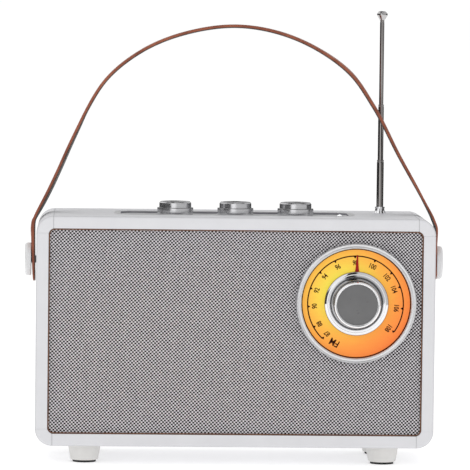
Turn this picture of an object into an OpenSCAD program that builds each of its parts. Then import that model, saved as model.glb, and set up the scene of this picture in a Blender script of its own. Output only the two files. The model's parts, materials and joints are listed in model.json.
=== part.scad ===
// Tabletop radio: a wrapped wooden case with a woven front, a lit tuning dial, three top
// knobs, a telescopic aerial and a leather carrying strap. Millimetres, +Z up, front at -Y.
// The origin lies on the surface the radio stands on, at the middle of its footprint.

/* [Case] */
// Width of the case
case_w = 280; // [276:1:300]
// Height of the case without its feet
case_h = 161.5; // [158:0.5:170]
// Depth of the case
case_d = 104; // [102:1:112]
// Thickness of the case walls
wall = 8.6; // [8:0.1:9]
// Radius of the case's outer corners
corner_r = 12; // [11:0.5:13]
// Radius of the case's rounded front and rear edges
edge_r = 2; // [1.5:0.5:4]
// Radius of the corners of the front and rear openings
opening_r = 4.5; // [4:0.5:7]

/* [Front] */
// Depth of the cloth behind the front rim
cloth_inset = 2.2; // [1.8:0.1:3]
// Thickness of the grille cloth
cloth_t = 1.3; // [1:0.1:1.5]
// Thickness of the board that carries the speakers and the dial
baffle_t = 9; // [8:0.5:10]
// Width of the trim cord round the cloth
trim_w = 1; // [0.8:0.1:1.2]

/* [Dial] */
// Distance of the dial's centre to the right of the middle
dial_x = 84.4; // [83:0.1:86]
// Height of the dial's centre above the bottom of the case
dial_z = 102.1; // [100:0.1:104]
// Outer diameter of the dial's bezel
bezel_d = 84.5; // [83:0.5:86]
// Width of the bezel's ring
bezel_w = 4; // [3.6:0.1:4.2]
// Diameter of the tuning knob's base
tuning_d = 45.2; // [43:0.1:47]
// Diameter of the tuning knob's grey face
tuning_face_d = 29.3; // [28:0.1:30]
// Distance that the tuning knob stands in front of the case
tuning_reach = 15; // [14:0.5:16]
// Length of the needle from the dial's centre to its tip
needle_l = 34; // [32:0.5:36]
// Angle of the needle at rest, clockwise from straight up
needle_rest = 0.7; // [0:0.1:10]

/* [Top controls] */
// Length of the trim ring round the top knobs
control_w = 171; // [168:1:174]
// Depth of the trim ring round the top knobs
control_d = 49; // [47:1:50]
// Width of the trim ring itself
control_rim = 4.5; // [4:0.1:5]
// Distance between neighbouring top knobs
knob_pitch = 42.8; // [42:0.1:44]
// Distance of the middle top knob to the right of the middle of the case
knob_shift = 0.6; // [0:0.1:1]
// Diameter of a top knob's lower step
knob_base_d = 25.7; // [24:0.1:26]
// Diameter of a top knob's upper step
knob_top_d = 22.8; // [21:0.1:23]
// Height of a top knob
knob_h = 9.2; // [8:0.1:10]

/* [Aerial] */
// Distance of the aerial to the right of the middle
aerial_x = 104.7; // [103:0.1:106]
// Distance of the aerial behind the middle of the case
aerial_y = 15.7; // [15:0.1:17]
// Diameter of the aerial's lower tube
aerial_lower_d = 5; // [4.8:0.1:5.2]
// Diameter of the aerial's middle tube
aerial_middle_d = 4; // [3.8:0.1:4]
// Diameter of the aerial's upper rod
aerial_upper_d = 3.1; // [2.9:0.1:3.1]
// Length of the lower tube that shows above the bush
aerial_lower_out = 33.5; // [30:0.5:36]
// Length of the middle tube that shows above the lower one
aerial_middle_out = 39.7; // [36:0.1:42]
// Length of the upper rod that shows above the middle tube
aerial_upper_out = 60.4; // [56:0.1:62]

/* [Strap] */
// Width of the leather strap
strap_w = 21; // [18:0.5:22]
// Thickness of the leather strap
strap_t = 2.4; // [2:0.1:2.6]
// Distance of the strap's pivots below the top of the case
pivot_drop = 33.7; // [32:0.1:35]
// Diameter of the round caps on the strap's pivots
cap_d = 23.4; // [22:0.1:24]
// Thickness of those caps
cap_t = 3.5; // [3:0.1:4.5]

/* [Feet] */
// Height of a foot without its rubber pad
foot_h = 11.4; // [10:0.1:13]
// Thickness of a foot's rubber pad
pad_h = 1.6; // [1.2:0.1:2]
// Diameter of a foot where it meets the case
foot_d = 23.6; // [22:0.1:25]
// Distance of the feet in from the sides of the case
foot_inset_x = 34.7; // [32:0.1:38]
// Distance of the feet in from the front and the rear of the case
foot_inset_y = 22; // [20:0.5:26]

/* [Hidden] */
$fn = 96;

// Colours
case_white = [0.87, 0.87, 0.875];
warm_white = [0.82, 0.81, 0.79];
silver = [0.75, 0.75, 0.76];
chrome = [0.62, 0.62, 0.64];
leather_brown = [0.50, 0.26, 0.18];
board_green = [0.10, 0.36, 0.22];
plastic_black = [0.08, 0.08, 0.09];
steel = [0.55, 0.55, 0.57];
brass = [0.72, 0.56, 0.30];
wood = [0.70, 0.56, 0.40];

// Clearances: a hair between fixed pieces, a gap to moving ones, a running fit on shafts
hair = 0.2;
gap = 0.4;
running = 0.05;
through = 1;

// Main planes
z_bottom = foot_h + pad_h;
z_top = z_bottom + case_h;
z_mid = (z_bottom + z_top) / 2;
y_front = tuning_reach - (case_d + tuning_reach) / 2;
y_rear = y_front + case_d;
y_mid = y_front + case_d / 2;
open_w = case_w - 2 * wall;
open_h = case_h - 2 * wall;
inside_top = z_top - wall;
inside_bottom = z_bottom + wall;
baffle_front = cloth_inset + cloth_t;
baffle_rear = baffle_front + baffle_t;

// Rear panel
rear_inset = 3;
rear_t = 5;
rear_face = y_rear - rear_inset;
rear_inner = rear_face - rear_t;
boss_w = 15;
boss_l = 24;
screw_inset = 8;
screw_r = 1.6;
screw_l = 16;
screw_head_r = 3.2;
screw_head_h = 1.8;

// Sockets
socket_x = 84;
socket_z = z_bottom + 30;
socket_plate_w = 48;
socket_plate_h = 20;
socket_plate_t = 1.5;
aux_x = socket_x - 12;
charge_x = socket_x + 11;
aux_bore_r = 1.8;
aux_collar_r = 3.9;
aux_body_l = 15;
charge_w = 9.2;
charge_h = 3.5;
charge_body_l = 10;

// Dial: heights are measured forward from the front rim's plane
disc_r = bezel_d / 2 - bezel_w;
dial_zc = z_bottom + dial_z;
skirt_r = disc_r + 2.1;
skirt_t = 1;
seat_r = skirt_r - skirt_t;
dial_hole_r = skirt_r + hair;
disc_t = 2;
disc_front = -0.7;
cup_wall = 1.5;
cup_rear = -20.5;
cup_floor = 2;
board_t = 1.6;
tuning_shaft_r = 3;
bush_r = 4.4;
capacitor_w = 22;
capacitor_l = 14;
needle_t = 0.6;
needle_gap = 0.6;
needle_rear = disc_front + needle_gap;
needle_front = needle_rear + needle_t;
face_t = 1;
face_sink = 1.2;
shaft_tip = tuning_reach - face_sink - face_t - 1.5;
light_count = 12;

// Top controls
plate_t = 2.3;
pocket_floor = z_top - 3.5;
plate_top = pocket_floor + plate_t;
trim_proud = 0.15;
trim_outer_r = 12;
knob_bottom = plate_top + gap;
pot_bush_r = 3.5;
pot_body_r = 8.2;
pot_body_h = 9;
pot_bush_top = plate_top + 2.4;
pot_shaft_r = 3;
nut_flats = 10;
nut_h = 1.8;
knob_cavity_r = 7.6;
knob_xs = [for (place = [-1, 0, 1]) knob_shift + place * knob_pitch];
lens_x = 75;
lens_r = 1.6;

// Aerial: each tube's length and the wall that closes its lower end
aerial_yc = y_mid + aerial_y;
aerial_bush_h = 5;
aerial_bush_top = z_top + aerial_bush_h;
sleeve_bottom = z_bottom + 34;
sleeve_wall = 1;
lower_l = 118;
middle_l = 112;
upper_l = 106;
tube_wall = 0.45;
plug_h = 2.5;
lower_top = aerial_bush_top + aerial_lower_out;
middle_top = lower_top + aerial_middle_out;
upper_top = middle_top + aerial_upper_out;
tip_h = 6.4;
tip_r = 3.8;

// Strap: the middle line of the band in the plane of the arch, as x and height above the
// top of the case; the ends hang straight down outside the case
strap_out = case_w / 2 + 3.5;
strap_end = -49;
strap_line = [
    [-strap_out, strap_end], [-strap_out, -18], [-strap_out + 0.3, -11.5], [-142, -5],
    [-138, 4], [-118, 46], [-105.5, 73], [-92, 94.5], [-67, 115], [-29, 129.7],
    [0, 133.2], [31, 128.6], [58, 117.4], [82, 100], [98, 77.6], [117, 42],
    [135, 10], [141, -3], [strap_out - 0.3, -11.5], [strap_out, -18], [strap_out, strap_end]
];
strap_steps = 6;
pivot_z = z_top - pivot_drop;
pivot_r = 2.6;
cap_inner = strap_out + strap_t / 2 + gap;

// Speakers
speaker_z = z_mid;
left_speaker_x = -88;
right_speaker_x = -4;
speaker_r = 36;
cone_r = 30.5;
basket_rear = baffle_rear + 20;
magnet_r = 22;
magnet_t = 16;

// Main board and battery
board_w = 150;
board_d = 52;
board_x = -40;
board_y = y_mid + 12;
board_z = inside_bottom + 8;
standoff_r = 3;
cell_r = 9.2;
cell_l = 67;
battery_x = 81;
battery_y = y_mid + 18;

// ---- helpers ----

// Rounded rectangle, centred
module rounded_rect(w, h, r) {
    square([w - 2 * r, h], center = true);
    square([w, h - 2 * r], center = true);
    for (x = [-1, 1], y = [-1, 1])
        translate([x * (w / 2 - r), y * (h / 2 - r)]) circle(r);
}

// Shapes drawn flat and raised along +Z, stood up so that they rise towards the front
module on_front(x = 0, z = z_mid) {
    translate([x, y_front, z]) rotate([90, 0, 0]) children();
}

// A plate between two depths behind the front rim's plane
module upright_plate(w, h, r, front, rear) {
    on_front() translate([0, 0, -rear]) linear_extrude(rear - front) rounded_rect(w, h, r);
}

// A round bar along X between two x values
module bar_x(r, x0, x1, y, z) {
    translate([x0, y, z]) rotate([0, 90, 0]) cylinder(r = r, h = x1 - x0);
}

// A round bar along Y between two y values
module bar_y(r, y0, y1, x, z) {
    translate([x, y1, z]) rotate([90, 0, 0]) cylinder(r = r, h = y1 - y0);
}

// Both sides of the radio
module both_sides() {
    children();
    mirror([1, 0, 0]) children();
}

// Section of a wall with rounded outer edges: its outer face at x = t, its depth along y
module wall_section(t) {
    square([t - edge_r, case_d]);
    translate([t - edge_r, edge_r]) square([edge_r, case_d - 2 * edge_r]);
    for (y = [edge_r, case_d - edge_r]) translate([t - edge_r, y]) circle(edge_r);
}

// The opening that runs through the case from front to rear
module case_opening() {
    upright_plate(open_w, open_h, opening_r, -through, case_d + through);
}

// ---- case ----

module level_panel() {
    difference() {
        translate([0, y_front, case_h / 2 - wall]) rotate([0, -90, 0])
            linear_extrude(case_w - 2 * corner_r, center = true) wall_section(wall);
        translate([0, 0, -z_mid]) case_opening();
    }
}

module upright_panel() {
    difference() {
        translate([case_w / 2 - wall, y_front, 0])
            linear_extrude(case_h - 2 * corner_r, center = true) wall_section(wall);
        translate([0, 0, -z_mid]) case_opening();
        bar_x(pivot_r, case_w / 2 - wall - through, case_w / 2 + through, y_mid,
            pivot_z - z_mid);
    }
}

module case_top() {
    color(case_white) difference() {
        translate([0, 0, z_mid]) level_panel();
        translate([0, y_mid, pocket_floor]) linear_extrude(case_h)
            rounded_rect(control_w, control_d, trim_outer_r);
        for (x = knob_xs) translate([x, y_mid, inside_top - through])
            cylinder(r = pot_bush_r + hair, h = wall);
        translate([lens_x, y_mid, inside_top - through]) cylinder(r = lens_r, h = wall);
        translate([aerial_x, aerial_yc, inside_top - through])
            cylinder(r = aerial_lower_d / 2 + running + sleeve_wall, h = wall + 2 * through);
    }
}

module case_bottom() {
    color(case_white) difference() {
        translate([0, 0, z_mid]) mirror([0, 0, 1]) level_panel();
        at_feet() translate([0, 0, z_bottom - through])
            cylinder(r = screw_r, h = wall + 2 * through);
        at_standoffs() translate([0, 0, inside_bottom - 4]) cylinder(r = screw_r, h = 5);
    }
}

module case_left() {
    color(case_white) translate([0, 0, z_mid]) mirror([1, 0, 0]) upright_panel();
}

module case_right() {
    color(case_white) translate([0, 0, z_mid]) upright_panel();
}

// One corner moulding with the boss that a rear screw bites into
module corner_moulding() {
    color(case_white) difference() {
        union() {
            difference() {
                translate([case_w / 2 - corner_r, y_rear, case_h / 2 - corner_r])
                    rotate([90, 0, 0]) rotate_extrude(angle = 90) wall_section(corner_r);
                translate([0, 0, -z_mid]) case_opening();
            }
            translate([open_w / 2 - boss_w, rear_inner - boss_l, open_h / 2 - boss_w])
                intersection() {
                    cube([boss_w, boss_l, boss_w]);
                    translate([boss_w - open_w / 2, 0, boss_w - open_h / 2])
                        rotate([-90, 0, 0]) linear_extrude(boss_l)
                            rounded_rect(open_w, open_h, opening_r);
                }
        }
        bar_y(screw_r, rear_inner - screw_l, rear_inner + through,
            open_w / 2 - screw_inset, open_h / 2 - screw_inset);
    }
}

module corner_top_right() {
    translate([0, 0, z_mid]) corner_moulding();
}

module corner_top_left() {
    translate([0, 0, z_mid]) mirror([1, 0, 0]) corner_moulding();
}

module corner_bottom_right() {
    translate([0, 0, z_mid]) mirror([0, 0, 1]) corner_moulding();
}

module corner_bottom_left() {
    translate([0, 0, z_mid]) mirror([1, 0, 0]) mirror([0, 0, 1]) corner_moulding();
}

// ---- front ----

module front_baffle() {
    color(wood) difference() {
        upright_plate(open_w - hair, open_h - hair, opening_r, baffle_front, baffle_rear);
        for (x = [left_speaker_x, right_speaker_x])
            bar_y(cone_r + 0.5, y_front, y_front + baffle_rear + through, x, speaker_z);
        bar_y(dial_hole_r, y_front, y_front + baffle_rear + through, dial_x, dial_zc);
    }
}

module grille_cloth() {
    color([0.58, 0.57, 0.58]) difference() {
        upright_plate(open_w - hair, open_h - hair, opening_r, cloth_inset,
            cloth_inset + cloth_t);
        bar_y(dial_hole_r, y_front, y_front + baffle_rear, dial_x, dial_zc);
    }
}

module grille_trim() {
    front = cloth_inset - 1.4;
    color([0.50, 0.33, 0.24]) difference() {
        upright_plate(open_w, open_h, opening_r, front, cloth_inset);
        upright_plate(open_w - 2 * trim_w, open_h - 2 * trim_w, opening_r - trim_w,
            front - through, cloth_inset + through);
    }
}

// ---- rear ----

module at_rear_screws() {
    for (x = [-1, 1], z = [-1, 1])
        translate([x * (open_w / 2 - screw_inset), 0, z_mid + z * (open_h / 2 - screw_inset)])
            children();
}

module rear_panel() {
    color(plastic_black) difference() {
        translate([0, rear_face, z_mid]) rotate([90, 0, 0]) linear_extrude(rear_t)
            rounded_rect(open_w - hair, open_h - hair, opening_r);
        at_rear_screws() bar_y(screw_r, rear_inner - through, rear_face + through, 0, 0);
        translate([socket_x, rear_face, socket_z]) cube([42, 3 * rear_t, 14], center = true);
    }
}

module rear_screws() {
    color(steel) at_rear_screws() {
        bar_y(screw_r, rear_inner - screw_l + through, rear_face, 0, 0);
        difference() {
            bar_y(screw_head_r, rear_face, rear_face + screw_head_h, 0, 0);
            for (a = [0, 90]) translate([0, rear_face + screw_head_h, 0]) rotate([0, a, 0])
                cube([3.6, 1.6, 0.7], center = true);
        }
    }
}

module socket_plate() {
    color(plastic_black) difference() {
        translate([socket_x, rear_face + socket_plate_t, socket_z]) rotate([90, 0, 0])
            linear_extrude(socket_plate_t)
                rounded_rect(socket_plate_w, socket_plate_h, 3);
        bar_y(aux_collar_r, rear_inner, y_rear, aux_x, socket_z);
        translate([charge_x, rear_face, socket_z]) rotate([90, 0, 0])
            linear_extrude(20, center = true) rounded_rect(charge_w, charge_h, 1.7);
    }
}

module charging_socket() {
    rear = rear_face + socket_plate_t;
    color(steel) difference() {
        translate([charge_x, rear, socket_z]) rotate([90, 0, 0])
            linear_extrude(charge_body_l) rounded_rect(charge_w, charge_h, 1.7);
        translate([charge_x, rear + through, socket_z]) rotate([90, 0, 0])
            linear_extrude(charge_body_l - 1)
                rounded_rect(charge_w - 0.8, charge_h - 0.8, 1.3);
    }
    color(plastic_black) translate([charge_x, rear - charge_body_l / 2 - 1, socket_z])
        cube([6.4, charge_body_l - 3, 0.7], center = true);
}

module aux_socket() {
    rear = rear_face + socket_plate_t;
    color(plastic_black) difference() {
        union() {
            bar_y(aux_collar_r, rear_face - 1, rear, aux_x, socket_z);
            translate([aux_x, rear_face - aux_body_l / 2, socket_z])
                cube([11, aux_body_l, 10], center = true);
        }
        bar_y(aux_bore_r, rear - 14, rear + through, aux_x, socket_z);
    }
}

// ---- feet ----

module at_feet() {
    for (x = [-1, 1], y = [y_front + foot_inset_y, y_rear - foot_inset_y])
        translate([x * (case_w / 2 - foot_inset_x), y, 0]) children();
}

module feet() {
    bottom_r = foot_d / 2 - 2;
    round_r = 2.4;
    color(warm_white) at_feet() difference() {
        translate([0, 0, pad_h]) rotate_extrude() {
            polygon([[0, 0], [bottom_r - round_r, 0], [bottom_r - 0.05, round_r - 0.5],
                [foot_d / 2, foot_h], [0, foot_h]]);
            translate([bottom_r - round_r, round_r]) circle(round_r);
        }
        translate([0, 0, pad_h - through]) cylinder(r = screw_head_r, h = 4 + through);
        translate([0, 0, pad_h]) cylinder(r = screw_r, h = foot_h + through);
    }
}

module foot_pads() {
    color(plastic_black) at_feet() cylinder(d = 16.5, h = pad_h);
}

module foot_screws() {
    color(steel) at_feet() {
        translate([0, 0, pad_h + 4 - screw_head_h]) cylinder(r = screw_head_r, h = screw_head_h);
        translate([0, 0, pad_h + 4 - through]) cylinder(r = screw_r, h = screw_l - 1);
    }
}

// ---- dial ----

module dial_bezel() {
    crown = bezel_w / 2;
    color(silver) on_front(dial_x, dial_zc) rotate_extrude() {
        translate([disc_r, disc_front]) square([skirt_r - disc_r, crown]);
        translate([seat_r, -12]) square([skirt_t, 12 + disc_front]);
        translate([seat_r, -cloth_inset]) square([bezel_d / 2 - seat_r, 1.5 + cloth_inset]);
        translate([disc_r + crown, disc_front + crown]) circle(crown);
    }
}

module dial_scale() {
    color([0.98, 0.66, 0.34]) on_front(dial_x, dial_zc) difference() {
        translate([0, 0, disc_front - disc_t]) cylinder(r = seat_r, h = disc_t);
        translate([0, 0, disc_front - disc_t - through])
            cylinder(r = tuning_shaft_r + 2, h = disc_t + 2 * through);
    }
}

module dial_cup() {
    cup_front = disc_front - disc_t;
    color(warm_white) on_front(dial_x, dial_zc) difference() {
        translate([0, 0, cup_rear]) cylinder(r = seat_r, h = cup_front - cup_rear);
        translate([0, 0, cup_rear + cup_floor])
            cylinder(r = seat_r - cup_wall, h = cup_front - cup_rear);
        translate([0, 0, cup_rear - through]) cylinder(r = bush_r, h = 2 * cup_floor);
    }
}

module dial_light_board() {
    color(board_green) on_front(dial_x, dial_zc)
        translate([0, 0, cup_rear + cup_floor]) {
            difference() {
                cylinder(r = seat_r - cup_wall, h = board_t);
                translate([0, 0, -through]) cylinder(r = bush_r + 1.6, h = board_t + 2);
            }
            for (i = [0 : light_count - 1]) rotate(i * 360 / light_count)
                translate([27, 0, board_t + 0.4]) cube([3.5, 2.8, 0.8], center = true);
        }
}

// The chromed knob: a low foot ring, a concave waist and a rolled lip round the grey face
module tuning_knob() {
    base_r = tuning_d / 2;
    lip_r = tuning_face_d / 2 + 1.9;
    foot = 2.6;
    seat = tuning_reach - face_sink;
    waist = base_r - lip_r - 0.4;
    color(chrome) on_front(dial_x, dial_zc) difference() {
        rotate_extrude() difference() {
            union() {
                translate([0, needle_front]) square([base_r, foot - needle_front]);
                translate([0, foot]) square([base_r - 0.4, waist]);
                translate([0, needle_front]) square([lip_r, tuning_reach - 1 - needle_front]);
                translate([lip_r - 1, tuning_reach - 1]) circle(1);
                translate([0, tuning_reach - 2]) square([lip_r - 1, 2]);
            }
            translate([base_r - 0.4, foot + waist]) circle(waist);
            translate([0, seat - face_t]) square([tuning_face_d / 2, 4]);
            translate([7, -2]) square([lip_r - 9.5, seat - face_t - 1.6 + 2]);
        }
        cylinder(r = tuning_shaft_r, h = shaft_tip);
    }
}

module tuning_knob_face() {
    color([0.42, 0.42, 0.43]) on_front(dial_x, dial_zc)
        translate([0, 0, tuning_reach - face_sink - face_t])
            cylinder(d = tuning_face_d, h = face_t);
}

module dial_needle() {
    color([0.78, 0.14, 0.08]) on_front(dial_x, dial_zc) rotate(-needle_rest)
        translate([0, 0, needle_rear]) linear_extrude(needle_t) difference() {
            union() {
                circle(9);
                polygon([[-1.1, 8], [1.1, 8], [1.1, 24], [0.35, needle_l],
                    [-0.35, needle_l], [-1.1, 24]]);
            }
            circle(tuning_shaft_r);
        }
}

module tuning_shaft() {
    color(steel) on_front(dial_x, dial_zc)
        translate([0, 0, cup_rear - capacitor_l / 2])
            cylinder(r = tuning_shaft_r, h = shaft_tip - cup_rear + capacitor_l / 2);
}

module tuning_capacitor() {
    color([0.80, 0.82, 0.84]) on_front(dial_x, dial_zc) difference() {
        union() {
            translate([0, 0, cup_rear - capacitor_l / 2])
                cube([capacitor_w, capacitor_w, capacitor_l], center = true);
            translate([0, 0, cup_rear]) cylinder(r = bush_r, h = 7);
        }
        translate([0, 0, cup_rear - capacitor_l / 2 - running])
            cylinder(r = tuning_shaft_r + running, h = capacitor_l + 8);
    }
}

// ---- top controls ----

module control_trim() {
    color(silver) translate([0, y_mid, pocket_floor])
        linear_extrude(z_top + trim_proud - pocket_floor) difference() {
            rounded_rect(control_w, control_d, trim_outer_r);
            rounded_rect(control_w - 2 * control_rim, control_d - 2 * control_rim,
                trim_outer_r - control_rim);
        }
}

module control_plate() {
    color([0.83, 0.83, 0.84]) translate([0, y_mid, pocket_floor]) difference() {
        linear_extrude(plate_t)
            rounded_rect(control_w - 2 * control_rim, control_d - 2 * control_rim,
                trim_outer_r - control_rim);
        for (x = knob_xs) translate([x, 0, -through])
            cylinder(r = pot_bush_r + hair, h = plate_t + 2 * through);
        translate([lens_x, 0, -through]) cylinder(r = lens_r, h = plate_t + 2 * through);
    }
}

module control_nuts() {
    color(steel) for (x = knob_xs) translate([x, y_mid, plate_top]) difference() {
        cylinder(d = nut_flats / cos(30), h = nut_h, $fn = 6);
        translate([0, 0, -through]) cylinder(r = pot_bush_r, h = nut_h + 2 * through);
    }
}

module indicator_lens() {
    color("white") translate([lens_x, y_mid, inside_top - 2]) {
        cylinder(r = lens_r, h = plate_top + 0.3 - inside_top + 2);
        translate([0, 0, plate_top + 0.3 - inside_top + 2]) intersection() {
            translate([0, 0, -1]) sphere(r = sqrt(lens_r * lens_r + 1));
            cylinder(r = lens_r, h = 4);
        }
    }
}

// A two-step knob with a dished top, on the shaft at x
module top_knob(x) {
    step_z = 0.53 * knob_h;
    round_r = 0.7;
    color(silver) translate([x, y_mid, knob_bottom]) difference() {
        rotate_extrude() {
            square([knob_base_d / 2, step_z - round_r]);
            square([knob_base_d / 2 - round_r, step_z]);
            translate([knob_base_d / 2 - round_r, step_z - round_r]) circle(round_r);
            square([knob_top_d / 2, knob_h - round_r]);
            square([knob_top_d / 2 - round_r, knob_h]);
            translate([knob_top_d / 2 - round_r, knob_h - round_r]) circle(round_r);
        }
        translate([0, 0, knob_h - 0.8])
            cylinder(r1 = knob_top_d / 2 - 2.6, r2 = knob_top_d / 2 - 1.6, h = 0.8 + 0.01);
        translate([0, 0, -through]) cylinder(r = knob_cavity_r, h = through + 3.2);
        cylinder(r = pot_shaft_r, h = knob_h - 2.2);
    }
}

module pot_shaft(x) {
    color(steel) translate([x, y_mid, inside_top - 5])
        cylinder(r = pot_shaft_r, h = knob_bottom + knob_h - 2.2 - inside_top + 5);
}

module pot(x) {
    color(steel) translate([x, y_mid, 0]) difference() {
        union() {
            translate([0, 0, inside_top - pot_body_h]) cylinder(r = pot_body_r, h = pot_body_h);
            translate([0, 0, inside_top - through])
                cylinder(r = pot_bush_r, h = pot_bush_top - inside_top + through);
            translate([-6, pot_body_r - 1.5, inside_top - pot_body_h])
                cube([12, 7, 1.6]);
        }
        translate([0, 0, inside_top - 5 - running])
            cylinder(r = pot_shaft_r + running, h = pot_bush_top);
    }
}

module volume_knob() { top_knob(knob_xs[0]); }
module treble_knob() { top_knob(knob_xs[1]); }
module bass_knob() { top_knob(knob_xs[2]); }
module volume_shaft() { pot_shaft(knob_xs[0]); }
module treble_shaft() { pot_shaft(knob_xs[1]); }
module bass_shaft() { pot_shaft(knob_xs[2]); }
module volume_pot() { pot(knob_xs[0]); }
module treble_pot() { pot(knob_xs[1]); }
module bass_pot() { pot(knob_xs[2]); }

// ---- aerial ----

// A tube of the aerial, closed at its lower end
module aerial_tube(r, bore_r, bottom, top) {
    translate([aerial_x, aerial_yc, bottom]) difference() {
        cylinder(r = r, h = top - bottom);
        translate([0, 0, plug_h]) cylinder(r = bore_r, h = top - bottom);
    }
}

module aerial_sleeve() {
    bore = aerial_lower_d / 2 + running;
    color(steel) aerial_tube(bore + sleeve_wall, bore, sleeve_bottom, z_top);
}

module aerial_bush() {
    bore = aerial_lower_d / 2 + running;
    color(chrome) translate([aerial_x, aerial_yc, z_top]) rotate_extrude() difference() {
        union() {
            polygon([[bore, 0], [4.2, 0], [4.2, 0.5], [3.5, 2.2], [3.15, 4], [bore, 4]]);
            translate([bore, 3.8]) square([3.5 - bore, aerial_bush_h - 3.8]);
        }
        translate([0, -through]) square([bore, aerial_bush_h + 2 * through]);
    }
}

module aerial_lower() {
    color(chrome) aerial_tube(aerial_lower_d / 2, aerial_middle_d / 2 + running,
        lower_top - lower_l, lower_top);
}

module aerial_middle() {
    color(chrome) aerial_tube(aerial_middle_d / 2, aerial_upper_d / 2 + running,
        middle_top - middle_l, middle_top);
}

module aerial_upper() {
    color(chrome) translate([aerial_x, aerial_yc, upper_top - upper_l])
        cylinder(d = aerial_upper_d, h = upper_l);
}

module aerial_tip() {
    color(chrome) translate([aerial_x, aerial_yc, upper_top]) rotate_extrude() {
        polygon([[0, 0], [aerial_upper_d / 2 + 0.2, 0], [tip_r, 2.6], [tip_r, 4.8],
            [0, 4.8]]);
        square([tip_r - 1.6, tip_h]);
        translate([tip_r - 1.6, tip_h - 1.6]) circle(1.6);
    }
}

// ---- strap ----

// Tangent of a smooth curve at point i of a list, weighted by the spacing of its neighbours
function tangent(p, i) =
    i == 0 ? (p[1] - p[0]) / norm(p[1] - p[0]) :
    i == len(p) - 1 ? (p[i] - p[i - 1]) / norm(p[i] - p[i - 1]) :
    let (a = norm(p[i] - p[i - 1]), b = norm(p[i + 1] - p[i]))
        ((p[i + 1] - p[i]) * a / b + (p[i] - p[i - 1]) * b / a) / (a + b);

// Point and slope of the curve between points i and i + 1, at u from 0 to 1
function curve_point(p, i, u) =
    let (d = norm(p[i + 1] - p[i]))
        (2 * u ^ 3 - 3 * u ^ 2 + 1) * p[i] + (u ^ 3 - 2 * u ^ 2 + u) * d * tangent(p, i)
        + (3 * u ^ 2 - 2 * u ^ 3) * p[i + 1] + (u ^ 3 - u ^ 2) * d * tangent(p, i + 1);
function curve_slope(p, i, u) =
    let (d = norm(p[i + 1] - p[i]))
        (6 * u ^ 2 - 6 * u) * (p[i] - p[i + 1])
        + (3 * u ^ 2 - 4 * u + 1) * d * tangent(p, i)
        + (3 * u ^ 2 - 2 * u) * d * tangent(p, i + 1);
function unit_left(v) = [-v[1], v[0]] / norm(v);

// One side of the band, a distance to the left of its middle line
function band_side(p, offset) = concat(
    [for (i = [0 : len(p) - 2], k = [0 : strap_steps - 1])
        let (u = k / strap_steps)
            curve_point(p, i, u) + offset * unit_left(curve_slope(p, i, u))],
    [curve_point(p, len(p) - 2, 1)
        + offset * unit_left(curve_slope(p, len(p) - 2, 1))]);
function backwards(p) = [for (i = [len(p) - 1 : -1 : 0]) p[i]];

module strap() {
    end_r = strap_w / 2;
    color(leather_brown) difference() {
        intersection() {
            translate([0, y_mid + strap_w / 2, z_top]) rotate([90, 0, 0])
                linear_extrude(strap_w)
                    polygon(concat(band_side(strap_line, strap_t / 2),
                        backwards(band_side(strap_line, -strap_t / 2))));
            translate([-case_w, y_mid, z_top]) rotate([90, 0, 90])
                linear_extrude(2 * case_w) {
                    translate([0, strap_end + end_r]) circle(end_r);
                    translate([-end_r, strap_end + end_r]) square([strap_w, case_w]);
                }
        }
        bar_x(pivot_r + 0.06, -case_w, case_w, y_mid, pivot_z);
    }
}

module strap_pivots() {
    color(steel) both_sides() {
        bar_x(pivot_r, case_w / 2 - wall - 2, cap_inner + 1.8, y_mid, pivot_z);
        bar_x(5.5, case_w / 2 - wall - 2.5, case_w / 2 - wall, y_mid, pivot_z);
    }
}

module strap_caps() {
    round_r = min(2.2, cap_t / 2);
    color(case_white) both_sides() translate([cap_inner, y_mid, pivot_z])
        rotate([0, 90, 0]) difference() {
            rotate_extrude() {
                square([cap_d / 2, cap_t - round_r]);
                square([cap_d / 2 - round_r, cap_t]);
                translate([cap_d / 2 - round_r, cap_t - round_r]) circle(round_r);
            }
            translate([0, 0, -through]) cylinder(r = pivot_r, h = 1.8 + through);
        }
}

// ---- speakers ----

module speaker_basket(x) {
    mouth = -baffle_rear;
    flange_rear = mouth - 2.4;
    back = -basket_rear;
    back_front = back + 2;
    color(steel) on_front(x, speaker_z) rotate_extrude()
        polygon([[cone_r, mouth], [speaker_r, mouth], [speaker_r, flange_rear],
            [cone_r + 1.4, flange_rear], [17.8, back_front], [20, back_front],
            [20, back], [12, back], [12, back_front], [16, back_front],
            [cone_r, flange_rear]]);
}

module speaker_cone(x) {
    rim = -baffle_rear;
    color([0.14, 0.14, 0.15]) on_front(x, speaker_z) rotate_extrude() {
        polygon([[cone_r, rim - 2.2], [cone_r, rim - 1.2], [26, rim - 1.6],
            [10, rim - 12], [0, rim - 9.4], [0, rim - 10.4], [10, rim - 13],
            [26, rim - 2.6]]);
        translate([28.2, rim - 1.8]) circle(1.6);
    }
}

module speaker_magnet(x) {
    color(plastic_black) on_front(x, speaker_z)
        translate([0, 0, -basket_rear - magnet_t]) {
            cylinder(r = magnet_r, h = magnet_t - 2);
            cylinder(r = 20, h = magnet_t);
            cylinder(r = 8, h = magnet_t + 3);
        }
}

module left_speaker_basket() { speaker_basket(left_speaker_x); }
module left_speaker_cone() { speaker_cone(left_speaker_x); }
module left_speaker_magnet() { speaker_magnet(left_speaker_x); }
module right_speaker_basket() { speaker_basket(right_speaker_x); }
module right_speaker_cone() { speaker_cone(right_speaker_x); }
module right_speaker_magnet() { speaker_magnet(right_speaker_x); }

// ---- electronics ----

module at_standoffs() {
    for (x = [-1, 1], y = [-1, 1])
        translate([board_x + x * (board_w / 2 - 5), board_y + y * (board_d / 2 - 5), 0])
            children();
}

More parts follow.
